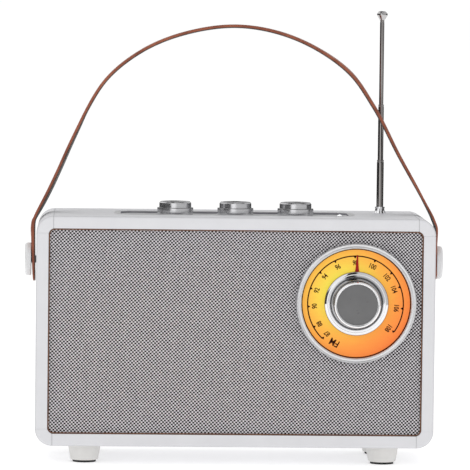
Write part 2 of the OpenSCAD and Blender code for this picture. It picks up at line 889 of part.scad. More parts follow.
module main_board() {
    color(board_green) difference() {
        translate([board_x - board_w / 2, board_y - board_d / 2, board_z])
            cube([board_w, board_d, board_t]);
        at_standoffs() translate([0, 0, board_z - through])
            cylinder(r = screw_r, h = board_t + 2 * through);
    }
    color(plastic_black) translate([board_x, board_y, board_z + board_t]) {
        for (x = [-56, -42, 34, 48]) translate([x, 14, 0]) cylinder(r = 5, h = 14);
        for (x = [-20, 6]) translate([x, -4, 0]) cube([14, 14, 2]);
        translate([-60, -20, 0]) cube([24, 12, 8]);
        translate([34, -18, 0]) cube([18, 9, 7]);
    }
}

module board_standoffs() {
    color(brass) at_standoffs() {
        translate([0, 0, inside_bottom]) cylinder(r = standoff_r, h = board_z - inside_bottom);
        translate([0, 0, inside_bottom - 4]) cylinder(r = screw_r, h = 5);
        translate([0, 0, board_z - through]) cylinder(r = screw_r, h = board_t + through);
        translate([0, 0, board_z + board_t]) cylinder(r = screw_head_r, h = screw_head_h);
    }
}

module battery_pack() {
    color([0.20, 0.35, 0.62]) for (y = [-1, 1])
        bar_x(cell_r, battery_x - cell_l / 2, battery_x + cell_l / 2,
            battery_y + y * (cell_r - 0.15), inside_bottom + cell_r);
}

// A round lead through a list of points, square at its bends
module lead(points, r = 0.8) {
    for (i = [0 : len(points) - 2]) {
        d = points[i + 1] - points[i];
        translate(points[i]) rotate([0, acos(d[2] / norm(d)), atan2(d[1], d[0])])
            cylinder(r = r, h = norm(d));
        if (i > 0) translate(points[i]) sphere(r = r);
    }
}

module internal_wiring() {
    top = board_z + board_t;
    behind = y_front + basket_rear + magnet_t + 4;
    board_edge = board_x + board_w / 2 - 3;
    color([0.75, 0.15, 0.12]) {
        for (x = [left_speaker_x, right_speaker_x])
            lead([[x + 24, behind - 12, top], [x + 24, behind - 12, speaker_z - 26],
                [x + 24, behind - 12, speaker_z]], 0.9);
        lead([[board_edge, board_y, top], [board_edge, board_y, dial_zc],
            [dial_x - capacitor_w / 2, board_y, dial_zc],
            [dial_x - capacitor_w / 2, y_front - cup_rear + capacitor_l, dial_zc]], 0.9);
    }
}

case_top();
case_bottom();
case_left();
case_right();
corner_top_left();
corner_top_right();
corner_bottom_left();
corner_bottom_right();
front_baffle();
grille_cloth();
grille_trim();
rear_panel();
rear_screws();
socket_plate();
charging_socket();
aux_socket();
feet();
foot_pads();
foot_screws();
dial_bezel();
dial_scale();
dial_cup();
dial_light_board();
tuning_knob();
tuning_knob_face();
dial_needle();
tuning_shaft();
tuning_capacitor();
control_trim();
control_plate();
control_nuts();
indicator_lens();
volume_knob();
treble_knob();
bass_knob();
volume_shaft();
treble_shaft();
bass_shaft();
volume_pot();
treble_pot();
bass_pot();
aerial_bush();
aerial_sleeve();
aerial_lower();
aerial_middle();
aerial_upper();
aerial_tip();
strap();
strap_pivots();
strap_caps();
left_speaker_basket();
left_speaker_cone();
left_speaker_magnet();
right_speaker_basket();
right_speaker_cone();
right_speaker_magnet();
main_board();
board_standoffs();
battery_pack();
internal_wiring();
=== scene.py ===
"""Looks of the tabletop radio: materials, detailed pieces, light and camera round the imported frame.

Lengths are metres in the frame's own axes: +Z up, the front of the radio at -Y.
"""
import json
from math import cos, degrees, pi, radians, sin, sqrt, tan

import bmesh
import bpy
import numpy as np
from mathutils import Matrix, Vector


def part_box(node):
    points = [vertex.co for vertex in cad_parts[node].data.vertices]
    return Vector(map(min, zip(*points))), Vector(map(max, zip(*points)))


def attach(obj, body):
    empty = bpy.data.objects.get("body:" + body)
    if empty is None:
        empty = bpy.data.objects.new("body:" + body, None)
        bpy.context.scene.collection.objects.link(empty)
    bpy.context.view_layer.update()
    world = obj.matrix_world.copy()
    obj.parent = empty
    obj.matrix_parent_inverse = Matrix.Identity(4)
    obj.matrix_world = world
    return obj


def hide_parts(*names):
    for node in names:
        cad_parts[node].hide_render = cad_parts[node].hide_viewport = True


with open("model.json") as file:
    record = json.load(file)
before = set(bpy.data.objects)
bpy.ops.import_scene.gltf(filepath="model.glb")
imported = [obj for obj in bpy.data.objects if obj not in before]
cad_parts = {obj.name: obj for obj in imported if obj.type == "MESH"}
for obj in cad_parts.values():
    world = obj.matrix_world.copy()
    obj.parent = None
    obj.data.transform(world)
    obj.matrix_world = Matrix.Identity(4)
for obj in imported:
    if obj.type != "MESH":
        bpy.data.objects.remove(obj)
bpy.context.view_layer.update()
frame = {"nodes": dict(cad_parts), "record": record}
NODES = frame["nodes"]
BOXES = {name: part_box(name) for name in NODES}
MM = 0.001
SCENE = bpy.context.scene


# ---- places, worked out from the frame ----


def low(node):
    return BOXES[node][0]


def high(node):
    return BOXES[node][1]


def middle(node):
    return (low(node) + high(node)) / 2


def size(node):
    return high(node) - low(node)


def foot_of(node):
    """The middle of a node's underside."""
    return Vector((middle(node).x, middle(node).y, low(node).z))


def radius_of(node):
    """Half of a node's width, in millimetres."""
    return size(node).x / 2 / MM


def reach_of(node):
    """How far a node's rear and its front lie before the case's front, in millimetres."""
    return (Y_FRONT - high(node).y) / MM, (Y_FRONT - low(node).y) / MM


def linked(name, data):
    """A new object in the scene."""
    made = bpy.data.objects.new(name, data)
    SCENE.collection.objects.link(made)
    return made


Y_FRONT = low("case_left").y
Z_TOP = high("case_top").z
Z_MID = (low("case_bottom").z + Z_TOP) / 2
SIDE = high("case_right").x
DIAL = Vector((middle("dial_bezel").x, Y_FRONT, middle("dial_bezel").z))
DIAL_HOLE = size("dial_bezel").x / 2 - 1.5 * MM
OPENING = size("grille_trim")
OPENING_CORNER = 4.5 * MM
CORNER = 12 * MM
CLOTH_FRONT = low("grille_cloth").y
PIVOT = middle("strap_pivots")


# ---- camera ----


def add_camera():
    """A long lens a little above the radio and to its left, tilted by half a degree."""
    place = Vector((-0.097, Y_FRONT - 2.8064, 0.3372))
    yaw, pitch, roll = (radians(a) for a in (1.955, 3.562, 0.646))
    forward = Vector((sin(yaw) * cos(pitch), cos(yaw) * cos(pitch), -sin(pitch)))
    right = Vector((cos(yaw), -sin(yaw), 0))
    up = right.cross(forward)
    tilted_right = right * cos(roll) + up * sin(roll)
    tilted_up = up * cos(roll) - right * sin(roll)
    data = bpy.data.cameras.new("camera")
    data.sensor_width = 36
    data.lens = 308.07
    data.clip_start = 0.05
    data.clip_end = 500
    camera = linked("camera", data)
    axes = Matrix((tilted_right, tilted_up, -forward)).transposed().to_4x4()
    camera.matrix_world = Matrix.Translation(place) @ axes
    SCENE.camera = camera


add_camera()


# ---- node materials ----


SOCKETS = {
    "roughness": "Roughness",
    "metallic": "Metallic",
    "specular": "Specular IOR Level",
    "emission": "Emission Strength",
    "emission_color": "Emission Color",
}


def new_material(name, **values):
    """A material with one Principled shader and its uniform values, with its tree and shader."""
    material = bpy.data.materials.new(name)
    material.use_nodes = True
    tree = material.node_tree
    shader = tree.nodes["Principled BSDF"]
    for key, value in values.items():
        shader.inputs[SOCKETS[key]].default_value = value
    return material, tree, shader


def add(tree, kind, inputs=None, **settings):
    """A node with its settings; each input is a value or a socket to link."""
    made = tree.nodes.new("ShaderNode" + kind)
    for key, value in settings.items():
        setattr(made, key, value)
    for key, value in (inputs or {}).items():
        if isinstance(value, bpy.types.NodeSocket):
            tree.links.new(value, made.inputs[key])
        else:
            made.inputs[key].default_value = value
    return made


def place_of(tree):
    return add(tree, "TexCoord").outputs["Object"]


def noise(tree, scale, detail=3, vector=None, distortion=0):
    inputs = {"Vector": vector or place_of(tree), "Scale": scale, "Detail": detail}
    inputs["Distortion"] = distortion
    return add(tree, "TexNoise", inputs).outputs["Fac"]


def cell_distance(tree, scale, feature):
    made = add(tree, "TexVoronoi", {"Vector": place_of(tree), "Scale": scale}, feature=feature)
    return made.outputs["Distance"]


def stretch(tree, scale):
    return add(tree, "Mapping", {"Vector": place_of(tree), "Scale": scale}).outputs["Vector"]


def ramp(tree, factor, stops):
    """Colours or greys at positions from 0 to 1."""
    made = add(tree, "ValToRGB", {"Fac": factor})
    elements = made.color_ramp.elements
    while len(elements) < len(stops):
        elements.new(0.5)
    for element, (position, colour) in zip(elements, stops):
        element.position = position
        grey = isinstance(colour, (int, float))
        element.color = (colour, colour, colour, 1) if grey else (*colour, 1)
    return made.outputs["Color"]


def maths(tree, operation, a, b=0.0):
    return add(tree, "Math", {0: a, 1: b}, operation=operation).outputs[0]


def length_of(tree, a, b):
    squares = [maths(tree, "POWER", maths(tree, "ABSOLUTE", v), 2.0) for v in (a, b)]
    return maths(tree, "SQRT", maths(tree, "ADD", *squares))


def axes_from(tree, centre):
    """The three coordinates measured from a centre."""
    moved = add(tree, "VectorMath", {0: place_of(tree), 1: centre}, operation="SUBTRACT")
    return add(tree, "SeparateXYZ", {"Vector": moved.outputs["Vector"]}).outputs


def bump(tree, shader, height, distance, strength=1.0, below=None):
    inputs = {"Height": height, "Distance": distance, "Strength": strength}
    if below is not None:
        inputs["Normal"] = below
    made = add(tree, "Bump", inputs)
    tree.links.new(made.outputs["Normal"], shader.inputs["Normal"])
    return made.outputs["Normal"]


def drive(tree, shader, socket, value):
    tree.links.new(value, shader.inputs[socket])


def between(tree, value, low_end, high_end):
    """A noise as a tone that wanders between two colours or greys."""
    return ramp(tree, value, [(0.3, low_end), (0.7, high_end)])


def mottled(tree, shader, scale, dark, light, detail=3):
    drive(tree, shader, "Base Color", between(tree, noise(tree, scale, detail), dark, light))


def rough_between(tree, shader, scale, smooth, rough):
    drive(tree, shader, "Roughness", between(tree, noise(tree, scale, 4), smooth, rough))


def times(tree, colour, factor):
    """A colour multiplied by another colour or tone."""
    product = add(tree, "VectorMath", {0: colour, 1: factor}, operation="MULTIPLY")
    return product.outputs["Vector"]


def leatherette():
    """White coated cloth with a fine pebbled grain, with painted shade at its seams and along its front
    fold.
    """
    material, tree, shader = new_material("white_leatherette", specular=0.3)
    tone = between(tree, noise(tree, 45), (0.7, 0.7, 0.722), (0.73, 0.73, 0.752))
    parts = add(tree, "SeparateXYZ", {"Vector": place_of(tree)}).outputs
    # painted shade: darker within half a millimetre of the planes where the corner pieces meet the top and
    # bottom panels
    from_x = maths(tree, "SUBTRACT", maths(tree, "ABSOLUTE", parts[0]), SIDE - CORNER)
    share = maths(tree, "DIVIDE", maths(tree, "ABSOLUTE", from_x), 0.5 * MM)
    painted_seam_shade = ramp(tree, share, [(0.25, 0.78), (1.0, 1.0)])
    # painted shade along the rounded front edge and a little way into the opening's wall
    behind_front = maths(tree, "SUBTRACT", parts[1], Y_FRONT)
    depth = maths(tree, "DIVIDE", behind_front, 4 * MM)
    painted_fold_shade = ramp(tree, depth, [(0.08, 1.0), (0.2, 0.84), (0.42, 0.86), (0.6, 1.0)])
    drive(tree, shader, "Base Color", times(tree, times(tree, tone, painted_seam_shade), painted_fold_shade))
    rough_between(tree, shader, 900, 0.45, 0.6)
    pebbles = ramp(tree, cell_distance(tree, 1300, "SMOOTH_F1"), [(0.0, 1.0), (0.75, 0.0)])
    first = bump(tree, shader, pebbles, 0.00006, 0.4)
    bump(tree, shader, noise(tree, 240, 4), 0.0001, 0.15, first)
    return material


def thread(name, dark, light):
    """Spun yarn: a fuzzy surface of uneven colour."""
    material, tree, shader = new_material(name, specular=0.08)
    mottled(tree, shader, 900, dark, light, 5)
    rough_between(tree, shader, 2500, 0.8, 0.95)
    bump(tree, shader, noise(tree, 6000, 4), 0.00006, 0.6)
    return material


def metal(name, dark, light, rough, grain=None, strength=0.2, scale=900):
    """A metal with a slightly uneven tone and, where grain is given, lines along one axis."""
    material, tree, shader = new_material(name, metallic=1.0)
    mottled(tree, shader, 80, dark, light)
    rough_between(tree, shader, 220, rough * 0.88, rough * 1.12)
    vector = stretch(tree, grain) if grain else None
    bump(tree, shader, noise(tree, scale, 4, vector), 0.00001, strength)
    return material


def turned_metal(name):
    """A top knob's metal: fine rings from the lathe, with painted shade on its ledge and its top."""
    material, tree, shader = new_material(name + "_metal", metallic=1.0)
    height = size(name + "_knob").z
    parts = axes_from(tree, middle(name + "_knob"))
    radius = length_of(tree, parts[0], parts[1])
    line = add(tree, "CombineXYZ", {"X": radius, "Y": parts[2]}).outputs["Vector"]
    rings = noise(tree, 2600, 2, line)
    rise = maths(tree, "DIVIDE", maths(tree, "ADD", parts[2], height / 2), height)
    # painted shade: darker bands at the step between the two tiers and at the top edge
    shade = ramp(
        tree, rise, [(0.48, 1.0), (0.505, 0.4), (0.535, 0.4), (0.55, 1.0), (0.93, 1.0), (0.965, 0.42)]
    )
    tone = between(tree, rings, (0.66, 0.66, 0.675), (0.74, 0.74, 0.755))
    drive(tree, shader, "Base Color", times(tree, tone, shade))
    drive(tree, shader, "Roughness", between(tree, rings, 0.187, 0.253))
    bump(tree, shader, rings, 0.00001, 0.2)
    return material


def plastic(name, dark, light, rough, grain_scale=1200, depth=0.00003, strength=0.25, **values):
    material, tree, shader = new_material(name, **values)
    mottled(tree, shader, 70, dark, light)
    rough_between(tree, shader, 300, rough * 0.9, rough * 1.1)
    bump(tree, shader, noise(tree, grain_scale, 4), depth, strength)
    return material


def dial_glow():
    """The lit scale: yellow beside the knob at the left, orange round the edge and at the right."""
    material, tree, shader = new_material("dial_glow", roughness=0.42, specular=0.2, emission=0.52)
    parts = axes_from(tree, DIAL)
    disc = size("dial_scale").x / 2
    x = maths(tree, "DIVIDE", parts[0], disc)
    z = maths(tree, "DIVIDE", parts[2], disc)
    out = maths(tree, "MAXIMUM", length_of(tree, x, z), 0.3)
    left = maths(tree, "MULTIPLY", maths(tree, "DIVIDE", x, out), -0.21)
    above = maths(tree, "MULTIPLY", maths(tree, "DIVIDE", z, out), 0.175)
    near_knob = maths(tree, "MULTIPLY", maths(tree, "SUBTRACT", 0.63, out), 0.88)
    flecks = maths(tree, "MULTIPLY", noise(tree, 500, 3, stretch(tree, (0.35, 1, 1.6))), 0.1)
    warm = maths(tree, "ADD", maths(tree, "ADD", left, above), maths(tree, "ADD", near_knob, flecks))
    colour = ramp(
        tree,
        maths(tree, "ADD", warm, 0.56),
        [
            (0.0, (1.0, 0.225, 0.052)), (0.3, (1.0, 0.355, 0.066)), (0.6, (1.0, 0.54, 0.078)),
            (1.0, (1.0, 0.93, 0.11)),
        ],
    )
    drive(tree, shader, "Base Color", times(tree, colour, (0.5, 0.44, 0.4)))
    drive(tree, shader, "Emission Color", colour)
    bump(tree, shader, noise(tree, 1500, 3), 0.00001, 0.15)
    return material


def leather(name, dark, mid, light, strength=0.5, rough=(0.34, 0.52)):
    """Smooth leather: pores, creases and worn tone."""
    material, tree, shader = new_material(name, specular=0.45)
    tone = noise(tree, 90, 5, distortion=0.4)
    stops = [(0.25, dark), (0.5, mid), (0.78, light)]
    drive(tree, shader, "Base Color", ramp(tree, tone, stops))
    rough_between(tree, shader, 400, *rough)
    first = bump(tree, shader, cell_distance(tree, 1700, "F1"), 0.00008, strength)
    bump(tree, shader, noise(tree, 220, 5), 0.0002, strength * 0.5, first)
    return material


WHITE = leatherette()
PALE_THREAD = thread("pale_thread", (0.64, 0.62, 0.645), (0.8, 0.775, 0.8))
DARK_THREAD = thread("dark_thread", (0.006, 0.005, 0.006), (0.022, 0.02, 0.022))
# painted shade: a near-black sheet behind the weave stands in for the shade seen through its gaps
SHADE_SHEET = thread("cloth_shade_sheet", 0.02, 0.05)
TRIM = leather("trim_leather", (0.1, 0.045, 0.025), (0.17, 0.075, 0.04), (0.25, 0.12, 0.07))
SATIN_SILVER = metal("satin_silver", (0.7, 0.7, 0.715), (0.76, 0.76, 0.77), 0.38)
CHROME = metal("bright_chrome", (0.86, 0.86, 0.88), (0.9, 0.9, 0.92), 0.06, strength=0.04)
# painted shade: the aerial's tubes get a much darker copy of chrome, standing in for the dark reflections
# along them
SHADED_ROD_CHROME = metal(
    "rod_chrome_painted_shade", (0.3, 0.285, 0.28), (0.37, 0.35, 0.34), 0.14, (40, 40, 1), 0.12, scale=60
)
TIP_CHROME = metal("tip_chrome", (0.48, 0.47, 0.47), (0.56, 0.55, 0.55), 0.1, strength=0.04)
STEEL = metal("zinc_steel", (0.5, 0.5, 0.52), (0.62, 0.62, 0.63), 0.32)
BARE_METAL = metal("bare_alloy", (0.62, 0.63, 0.65), (0.72, 0.72, 0.74), 0.42)
BRASS = metal("brass", (0.58, 0.42, 0.18), (0.72, 0.54, 0.26), 0.28)
MAGNET = metal("ferrite", (0.04, 0.04, 0.045), (0.08, 0.08, 0.085), 0.55)
BASKET = metal("basket_paint", (0.05, 0.05, 0.055), (0.09, 0.09, 0.095), 0.5)
PLATE = metal("brushed_plate", (0.8, 0.8, 0.81), (0.88, 0.88, 0.89), 0.36, (1, 60, 60), 0.3, 500)
FOOT_WHITE = plastic("foot_plastic", (0.7, 0.69, 0.67), (0.75, 0.74, 0.72), 0.5)
CAP_WHITE = plastic("cap_plastic", (0.72, 0.72, 0.725), (0.77, 0.77, 0.775), 0.32)
PIN_WHITE = plastic("pivot_sleeve", (0.6, 0.6, 0.61), (0.7, 0.7, 0.71), 0.4)
RUBBER = plastic("rubber", 0.008, 0.016, 0.75)
BLACK = plastic("black_plastic", (0.012, 0.012, 0.013), (0.022, 0.022, 0.023), 0.45)
REAR = plastic("rear_board", (0.02, 0.02, 0.022), (0.032, 0.032, 0.034), 0.62, 1400, 0.0002, 0.6)
FIBREBOARD = plastic("fibreboard", (0.3, 0.2, 0.12), (0.42, 0.3, 0.19), 0.85, 900, 0.0002, 0.5)
CUP = plastic("dial_cup", (0.72, 0.71, 0.69), (0.78, 0.77, 0.75), 0.6)
BOARD = plastic("circuit_board", (0.01, 0.09, 0.045), (0.02, 0.14, 0.07), 0.35, 500)
BATTERY = plastic("battery_sleeve", (0.02, 0.07, 0.28), (0.03, 0.1, 0.36), 0.3)
WIRE = plastic("wire", (0.32, 0.02, 0.015), (0.42, 0.03, 0.02), 0.45)
PAPER = plastic("cone_paper", (0.02, 0.02, 0.022), (0.045, 0.045, 0.048), 0.85, 1600, 0.0001, 0.6)
NEEDLE = plastic("needle_lacquer", (0.3, 0.004, 0.003), (0.42, 0.01, 0.006), 0.35, specular=0.2)
# also colours the painted shade ring at the dial's edge
INK_AND_SHADE = plastic("dial_ink_and_shade", (0.03, 0.004, 0.002), (0.05, 0.008, 0.003), 0.6, specular=0.1)
LENS = plastic(
    "lens", (0.88, 0.88, 0.9), (0.94, 0.94, 0.95), 0.2, emission=0.6, emission_color=(0.95, 0.97, 1.0, 1)
)
GLOW = dial_glow()
STRAP = leather("strap_leather", (0.17, 0.042, 0.018), (0.27, 0.073, 0.034), (0.37, 0.115, 0.058))
LINING = leather(
    "strap_lining", (0.045, 0.043, 0.042), (0.075, 0.072, 0.07), (0.11, 0.105, 0.1), 0.8, (0.5, 0.7)
)
STITCH = thread("stitch_thread", (0.2, 0.075, 0.045), (0.3, 0.13, 0.08))
# painted shade: a dark band stands in for the shadowed inner wall of the control recess
RECESS_SHADE = plastic("recess_shade_band", (0.2, 0.195, 0.22), (0.24, 0.235, 0.26), 0.5)
FACE = plastic("knob_face", (0.135, 0.135, 0.137), (0.155, 0.155, 0.157), 0.3, specular=0.4)
KNOB_METALS = {name: turned_metal(name) for name in ("volume", "treble", "bass")}


def knob_chrome():
    """Bright chrome on the lip and the flange, with painted shade: a darker hollow and a dark groove
    between them, and a darker rim.
    """
    material, tree, shader = new_material("knob_chrome", metallic=1.0)
    parts = axes_from(tree, DIAL)
    flange = size("tuning_knob").x / 2
    share = maths(tree, "DIVIDE", length_of(tree, parts[0], parts[2]), flange)
    # painted shade in the chrome's colour, by radius: the hollow and the groove dark, the rim darker
    inner = [(0.705, 0.95), (0.725, 0.5), (0.79, 0.4), (0.81, 0.12)]
    outer = [(0.835, 0.88), (0.965, 0.84), (0.992, 0.4)]
    tone = ramp(tree, share, inner + outer)
    drive(tree, shader, "Base Color", times(tree, tone, (0.985, 0.985, 1.0)))
    rough_between(tree, shader, 220, 0.05, 0.09)
    bump(tree, shader, noise(tree, 900, 4), 0.00001, 0.04)
    return material


KNOB_CHROME = knob_chrome()
CASE_NODES = [n for n in NODES if n.startswith("case_") or n.startswith("corner_")]
NODES_OF = [
    (WHITE, " ".join(CASE_NODES)),
    (FIBREBOARD, "front_baffle"),
    (SHADE_SHEET, "grille_cloth"),
    (TRIM, "grille_trim"),
    (REAR, "rear_panel"),
    (STEEL, "rear_screws charging_socket foot_screws tuning_shaft control_nuts aerial_sleeve"),
    (BLACK, "socket_plate aux_socket"),
    (FOOT_WHITE, "feet"),
    (RUBBER, "foot_pads"),
    (SATIN_SILVER, "dial_bezel control_trim"),
    (GLOW, "dial_scale"),
    (CUP, "dial_cup"),
    (BOARD, "dial_light_board main_board"),
    (KNOB_CHROME, "tuning_knob"),
    (FACE, "tuning_knob_face"),
    (NEEDLE, "dial_needle"),
    (BARE_METAL, "tuning_capacitor"),
    (PLATE, "control_plate"),
    (LENS, "indicator_lens"),
    (CHROME, "aerial_bush"),
    (SHADED_ROD_CHROME, "aerial_lower aerial_middle aerial_upper"),
    (TIP_CHROME, "aerial_tip"),
    (STRAP, "strap"),
    (PIN_WHITE, "strap_pivots"),
    (CAP_WHITE, "strap_caps"),
    (BRASS, "board_standoffs"),
    (BATTERY, "battery_pack"),
    (WIRE, "internal_wiring"),
    (BASKET, "left_speaker_basket right_speaker_basket"),
    (PAPER, "left_speaker_cone right_speaker_cone"),
    (MAGNET, "left_speaker_magnet right_speaker_magnet"),
]
NODES_OF += [(KNOB_METALS[name], name + "_knob") for name in KNOB_METALS]
NODES_OF += [(STEEL, name + "_shaft") for name in KNOB_METALS]
NODES_OF += [(BARE_METAL, name + "_pot") for name in KNOB_METALS]
BODY_OF = {node: body for body, group in frame["record"]["behaviour"]["bodies"].items() for node in group}


def dress(node, material):
    """Gives a carried-over CAD node its material."""
    if not NODES[node].material_slots:
        NODES[node].data.materials.append(material)
    for slot in NODES[node].material_slots:
        slot.material = material


for material, nodes in NODES_OF:
    for node in nodes.split():
        dress(node, material)


# ---- building pieces ----


def new_piece(name, mesh, material, node, replaces=True, smooth=35):
    """Links a mesh as a piece that rides with a node's body and, where asked, stands for the node."""
    mesh.materials.clear()
    mesh.materials.append(material)
    mesh.polygons.foreach_set("use_smooth", np.ones(len(mesh.polygons), bool))
    mesh.set_sharp_from_angle(angle=radians(smooth))
    piece = linked(name, mesh)
    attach(piece, BODY_OF[node])
    if replaces:
        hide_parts(node)
    return piece


def mesh_from(name, vertices, faces):
    mesh = bpy.data.meshes.new(name)
    mesh.from_pydata([tuple(v) for v in vertices], [], faces)
    mesh.validate()
    return mesh


def shifted(faces, base):
    """Faces whose vertices follow on from those before base."""
    return [tuple(base + i for i in face) for face in faces]


def face_outwards(mesh):
    """Turns the faces of a closed mesh outwards."""
    work = bmesh.new()
    work.from_mesh(mesh)
    bmesh.ops.recalc_face_normals(work, faces=work.faces)
    work.to_mesh(mesh)
    work.free()


def tube_faces(rings, sides, joined=False, capped=False):
    """Faces between rings of equally many vertices. The last can join the first, or both ends be capped."""
    faces = []
    for k in range(rings if joined else rings - 1):
        a, b = k * sides, (k + 1) % rings * sides
        for j in range(sides):
            n = (j + 1) % sides
            faces.append((a + j, a + n, b + n, b + j))
    if capped:
        last = (rings - 1) * sides
        faces += [tuple(reversed(range(sides))), tuple(range(last, last + sides))]
    return faces


def rounded_rectangle(centre, half_w, half_h, corner, steps=12):
    """Points round a rectangle with rounded corners; the half sizes are of its straight sides."""
    points = []
    for quarter, (sx, sy) in enumerate(((1, 1), (-1, 1), (-1, -1), (1, -1))):
        for step in range(steps + 1):
            turn = pi / 2 * (quarter + step / steps)
            x = centre[0] + sx * half_w + corner * cos(turn)
            points.append((x, centre[1] + sy * half_h + corner * sin(turn)))
    return points


def bevelled_copy(name, node, material, width, segments=3):
    """A node's own shape with its sharp edges rounded, in place of the node."""
    work = bmesh.new()
    work.from_mesh(NODES[node].data)
    bmesh.ops.remove_doubles(work, verts=work.verts, dist=1e-6)
    flat = radians(0.5)
    bmesh.ops.dissolve_limit(work, angle_limit=flat, verts=work.verts, edges=work.edges)
    least = radians(30)
    sharp = [e for e in work.edges if len(e.link_faces) == 2 and e.calc_face_angle(0) > least]
    shape = {"profile": 0.5, "affect": "EDGES", "clamp_overlap": True}
    bmesh.ops.bevel(work, geom=sharp, offset=width, segments=segments, **shape)
    mesh = bpy.data.meshes.new(name)
    work.to_mesh(mesh)
    work.free()
    piece = new_piece(name, mesh, material, node)
    weigh_normals(mesh)
    return piece


def weigh_normals(mesh):
    """Lets large flat faces keep their own normals, so only the rounded edges shade as curved."""
    sharp = {i for i, edge in enumerate(mesh.edges) if edge.use_edge_sharp}
    loop_normals = [Vector((0, 0, 0))] * len(mesh.loops)
    faces_of_edge, corners, edges_at = {}, {}, {}
    for face in mesh.polygons:
        for loop in face.loop_indices:
            faces_of_edge.setdefault(mesh.loops[loop].edge_index, []).append(face.index)
            corners.setdefault(mesh.loops[loop].vertex_index, {})[face.index] = loop
    for index, edge in enumerate(mesh.edges):
        for vertex in edge.vertices:
            edges_at.setdefault(vertex, []).append(index)
    for vertex, loops in corners.items():
        groups = {face: {face} for face in loops}
        for index in edges_at[vertex]:
            pair = faces_of_edge.get(index, [])
            if index in sharp or len(pair) != 2:
                continue
            joined = groups[pair[0]] | groups[pair[1]]
            for face in joined:
                groups[face] = joined
        for face, loop in loops.items():
            near = [mesh.polygons[other] for other in groups[face]]
            total = sum((other.normal * other.area for other in near), Vector((0, 0, 0)))
            loop_normals[loop] = total.normalized()
    mesh.normals_split_custom_set(loop_normals)


def rounded(corners, steps=5):
    """A profile through corners of (radius, height, rounding) in millimetres, each one rounded off."""
    points = []
    for index, (radius, height, rounding) in enumerate(corners):
        here = Vector((radius, height))
        if rounding == 0 or index in (0, len(corners) - 1):
            points.append(here)
            continue
        before = Vector(corners[index - 1][:2]) - here
        after = Vector(corners[index + 1][:2]) - here
        cut = rounding / tan(before.angle(after) / 2)
        start = here + before.normalized() * min(cut, before.length * 0.49)
        end = here + after.normalized() * min(cut, after.length * 0.49)
        for step in range(steps + 1):
            t = step / steps
            points.append(start * (1 - t) ** 2 + here * 2 * t * (1 - t) + end * t**2)
    return [tuple(p) for p in points]


def turned(profile, origins, forward=False, segments=144):
    """Vertices and faces of a profile in millimetres turned about +Z, or about -Y, at each origin."""
    vertices, faces = [], []
    for origin in origins:
        rings = []
        for radius, height in profile:
            ring = []
            for k in range(1 if radius < 1e-6 else segments):
                turn = 2 * pi * k / segments
                a, b = radius * cos(turn), radius * sin(turn)
                offset = Vector((a, -height, b)) if forward else Vector((a, b, height))
                ring.append(len(vertices))
                vertices.append(Vector(origin) + offset * MM)
            rings.append(ring)
        for one, two in zip(rings, rings[1:]):
            for k in range(segments):
                n = (k + 1) % segments
                if len(one) == 1:
                    face = (one[0], two[n], two[k])
                elif len(two) == 1:
                    face = (one[k], one[n], two[0])
                else:
                    face = (one[k], one[n], two[n], two[k])
                faces.append(face)
    return vertices, faces


def lathe(name, corners, material, node, origins, forward=False, replaces=True, segments=144, steps=5):
    """A turned piece. Its profile's corners run from the foot upwards, in millimetres."""
    mesh = mesh_from(name, *turned(rounded(corners, steps), origins, forward, segments))
    face_outwards(mesh)
    return new_piece(name, mesh, material, node, replaces)


# ---- case ----

for name in CASE_NODES:
    bevelled_copy("wrapped_" + name, name, WHITE, 0.35 * MM)


def opening_path(inset):
    """Points round the front opening, inset from its edge, as (x, z)."""
    corner = OPENING_CORNER - inset
    half_w = OPENING.x / 2 - inset - corner
    half_h = OPENING.z / 2 - inset - corner
    return rounded_rectangle((0, Z_MID), half_w, half_h, corner)


def add_grille_trim():
    """A thin leather cord in the joint between the case and the cloth."""
    width = 1.0 * MM
    depth = low("grille_trim").y + size("grille_trim").y / 2
    path = opening_path(width / 2)
    sides = 10
    vertices = []
    for index, (x, z) in enumerate(path):
        before = Vector(path[index - 1])
        after = Vector(path[(index + 1) % len(path)])
        along = (after - before).normalized()
        out = Vector((along.y, -along.x))
        for k in range(sides):
            turn = 2 * pi * k / sides
            swing = out * (width / 2 * cos(turn))
            y = depth - size("grille_trim").y / 2 * sin(turn)
            vertices.append((x + swing.x, y, z + swing.y))
    mesh = mesh_from("trim_cord", vertices, tube_faces(len(path), sides, joined=True))
    new_piece("trim_cord", mesh, TRIM, "grille_trim")


add_grille_trim()


# ---- woven cloth ----


def in_opening(x, z, inset):
    """Which points lie in the rounded opening and clear of the dial."""
    half_w = OPENING.x / 2 - inset
    half_h = OPENING.z / 2 - inset
    corner = OPENING_CORNER - inset
    over_x = np.maximum(np.abs(x) - (half_w - corner), 0)
    over_z = np.maximum(np.abs(z - Z_MID) - (half_h - corner), 0)
    inside = np.hypot(over_x, over_z) <= corner
    return inside & (np.hypot(x - DIAL.x, z - DIAL.z) >= DIAL_HOLE)


PITCH = 1.25 * MM
THREAD_WIDTH = 1.22 * MM
THREAD_DEPTH = 0.55 * MM
SHADE_SHEET_DEPTH = 0.75 * MM
WAVE_HEIGHT = 0.24 * MM
RIDGE_HEIGHT = 0.4 * MM
WEAVE_TURN = radians(-4)
STEPS = 2
EDGE = 0.6 * MM
# Corners of a thread's section: shares of its width and of its ridge's height
SECTION = np.array([(-0.5, 0.1), (-0.38, 0.85), (0.38, 0.85), (0.5, 0.1)])


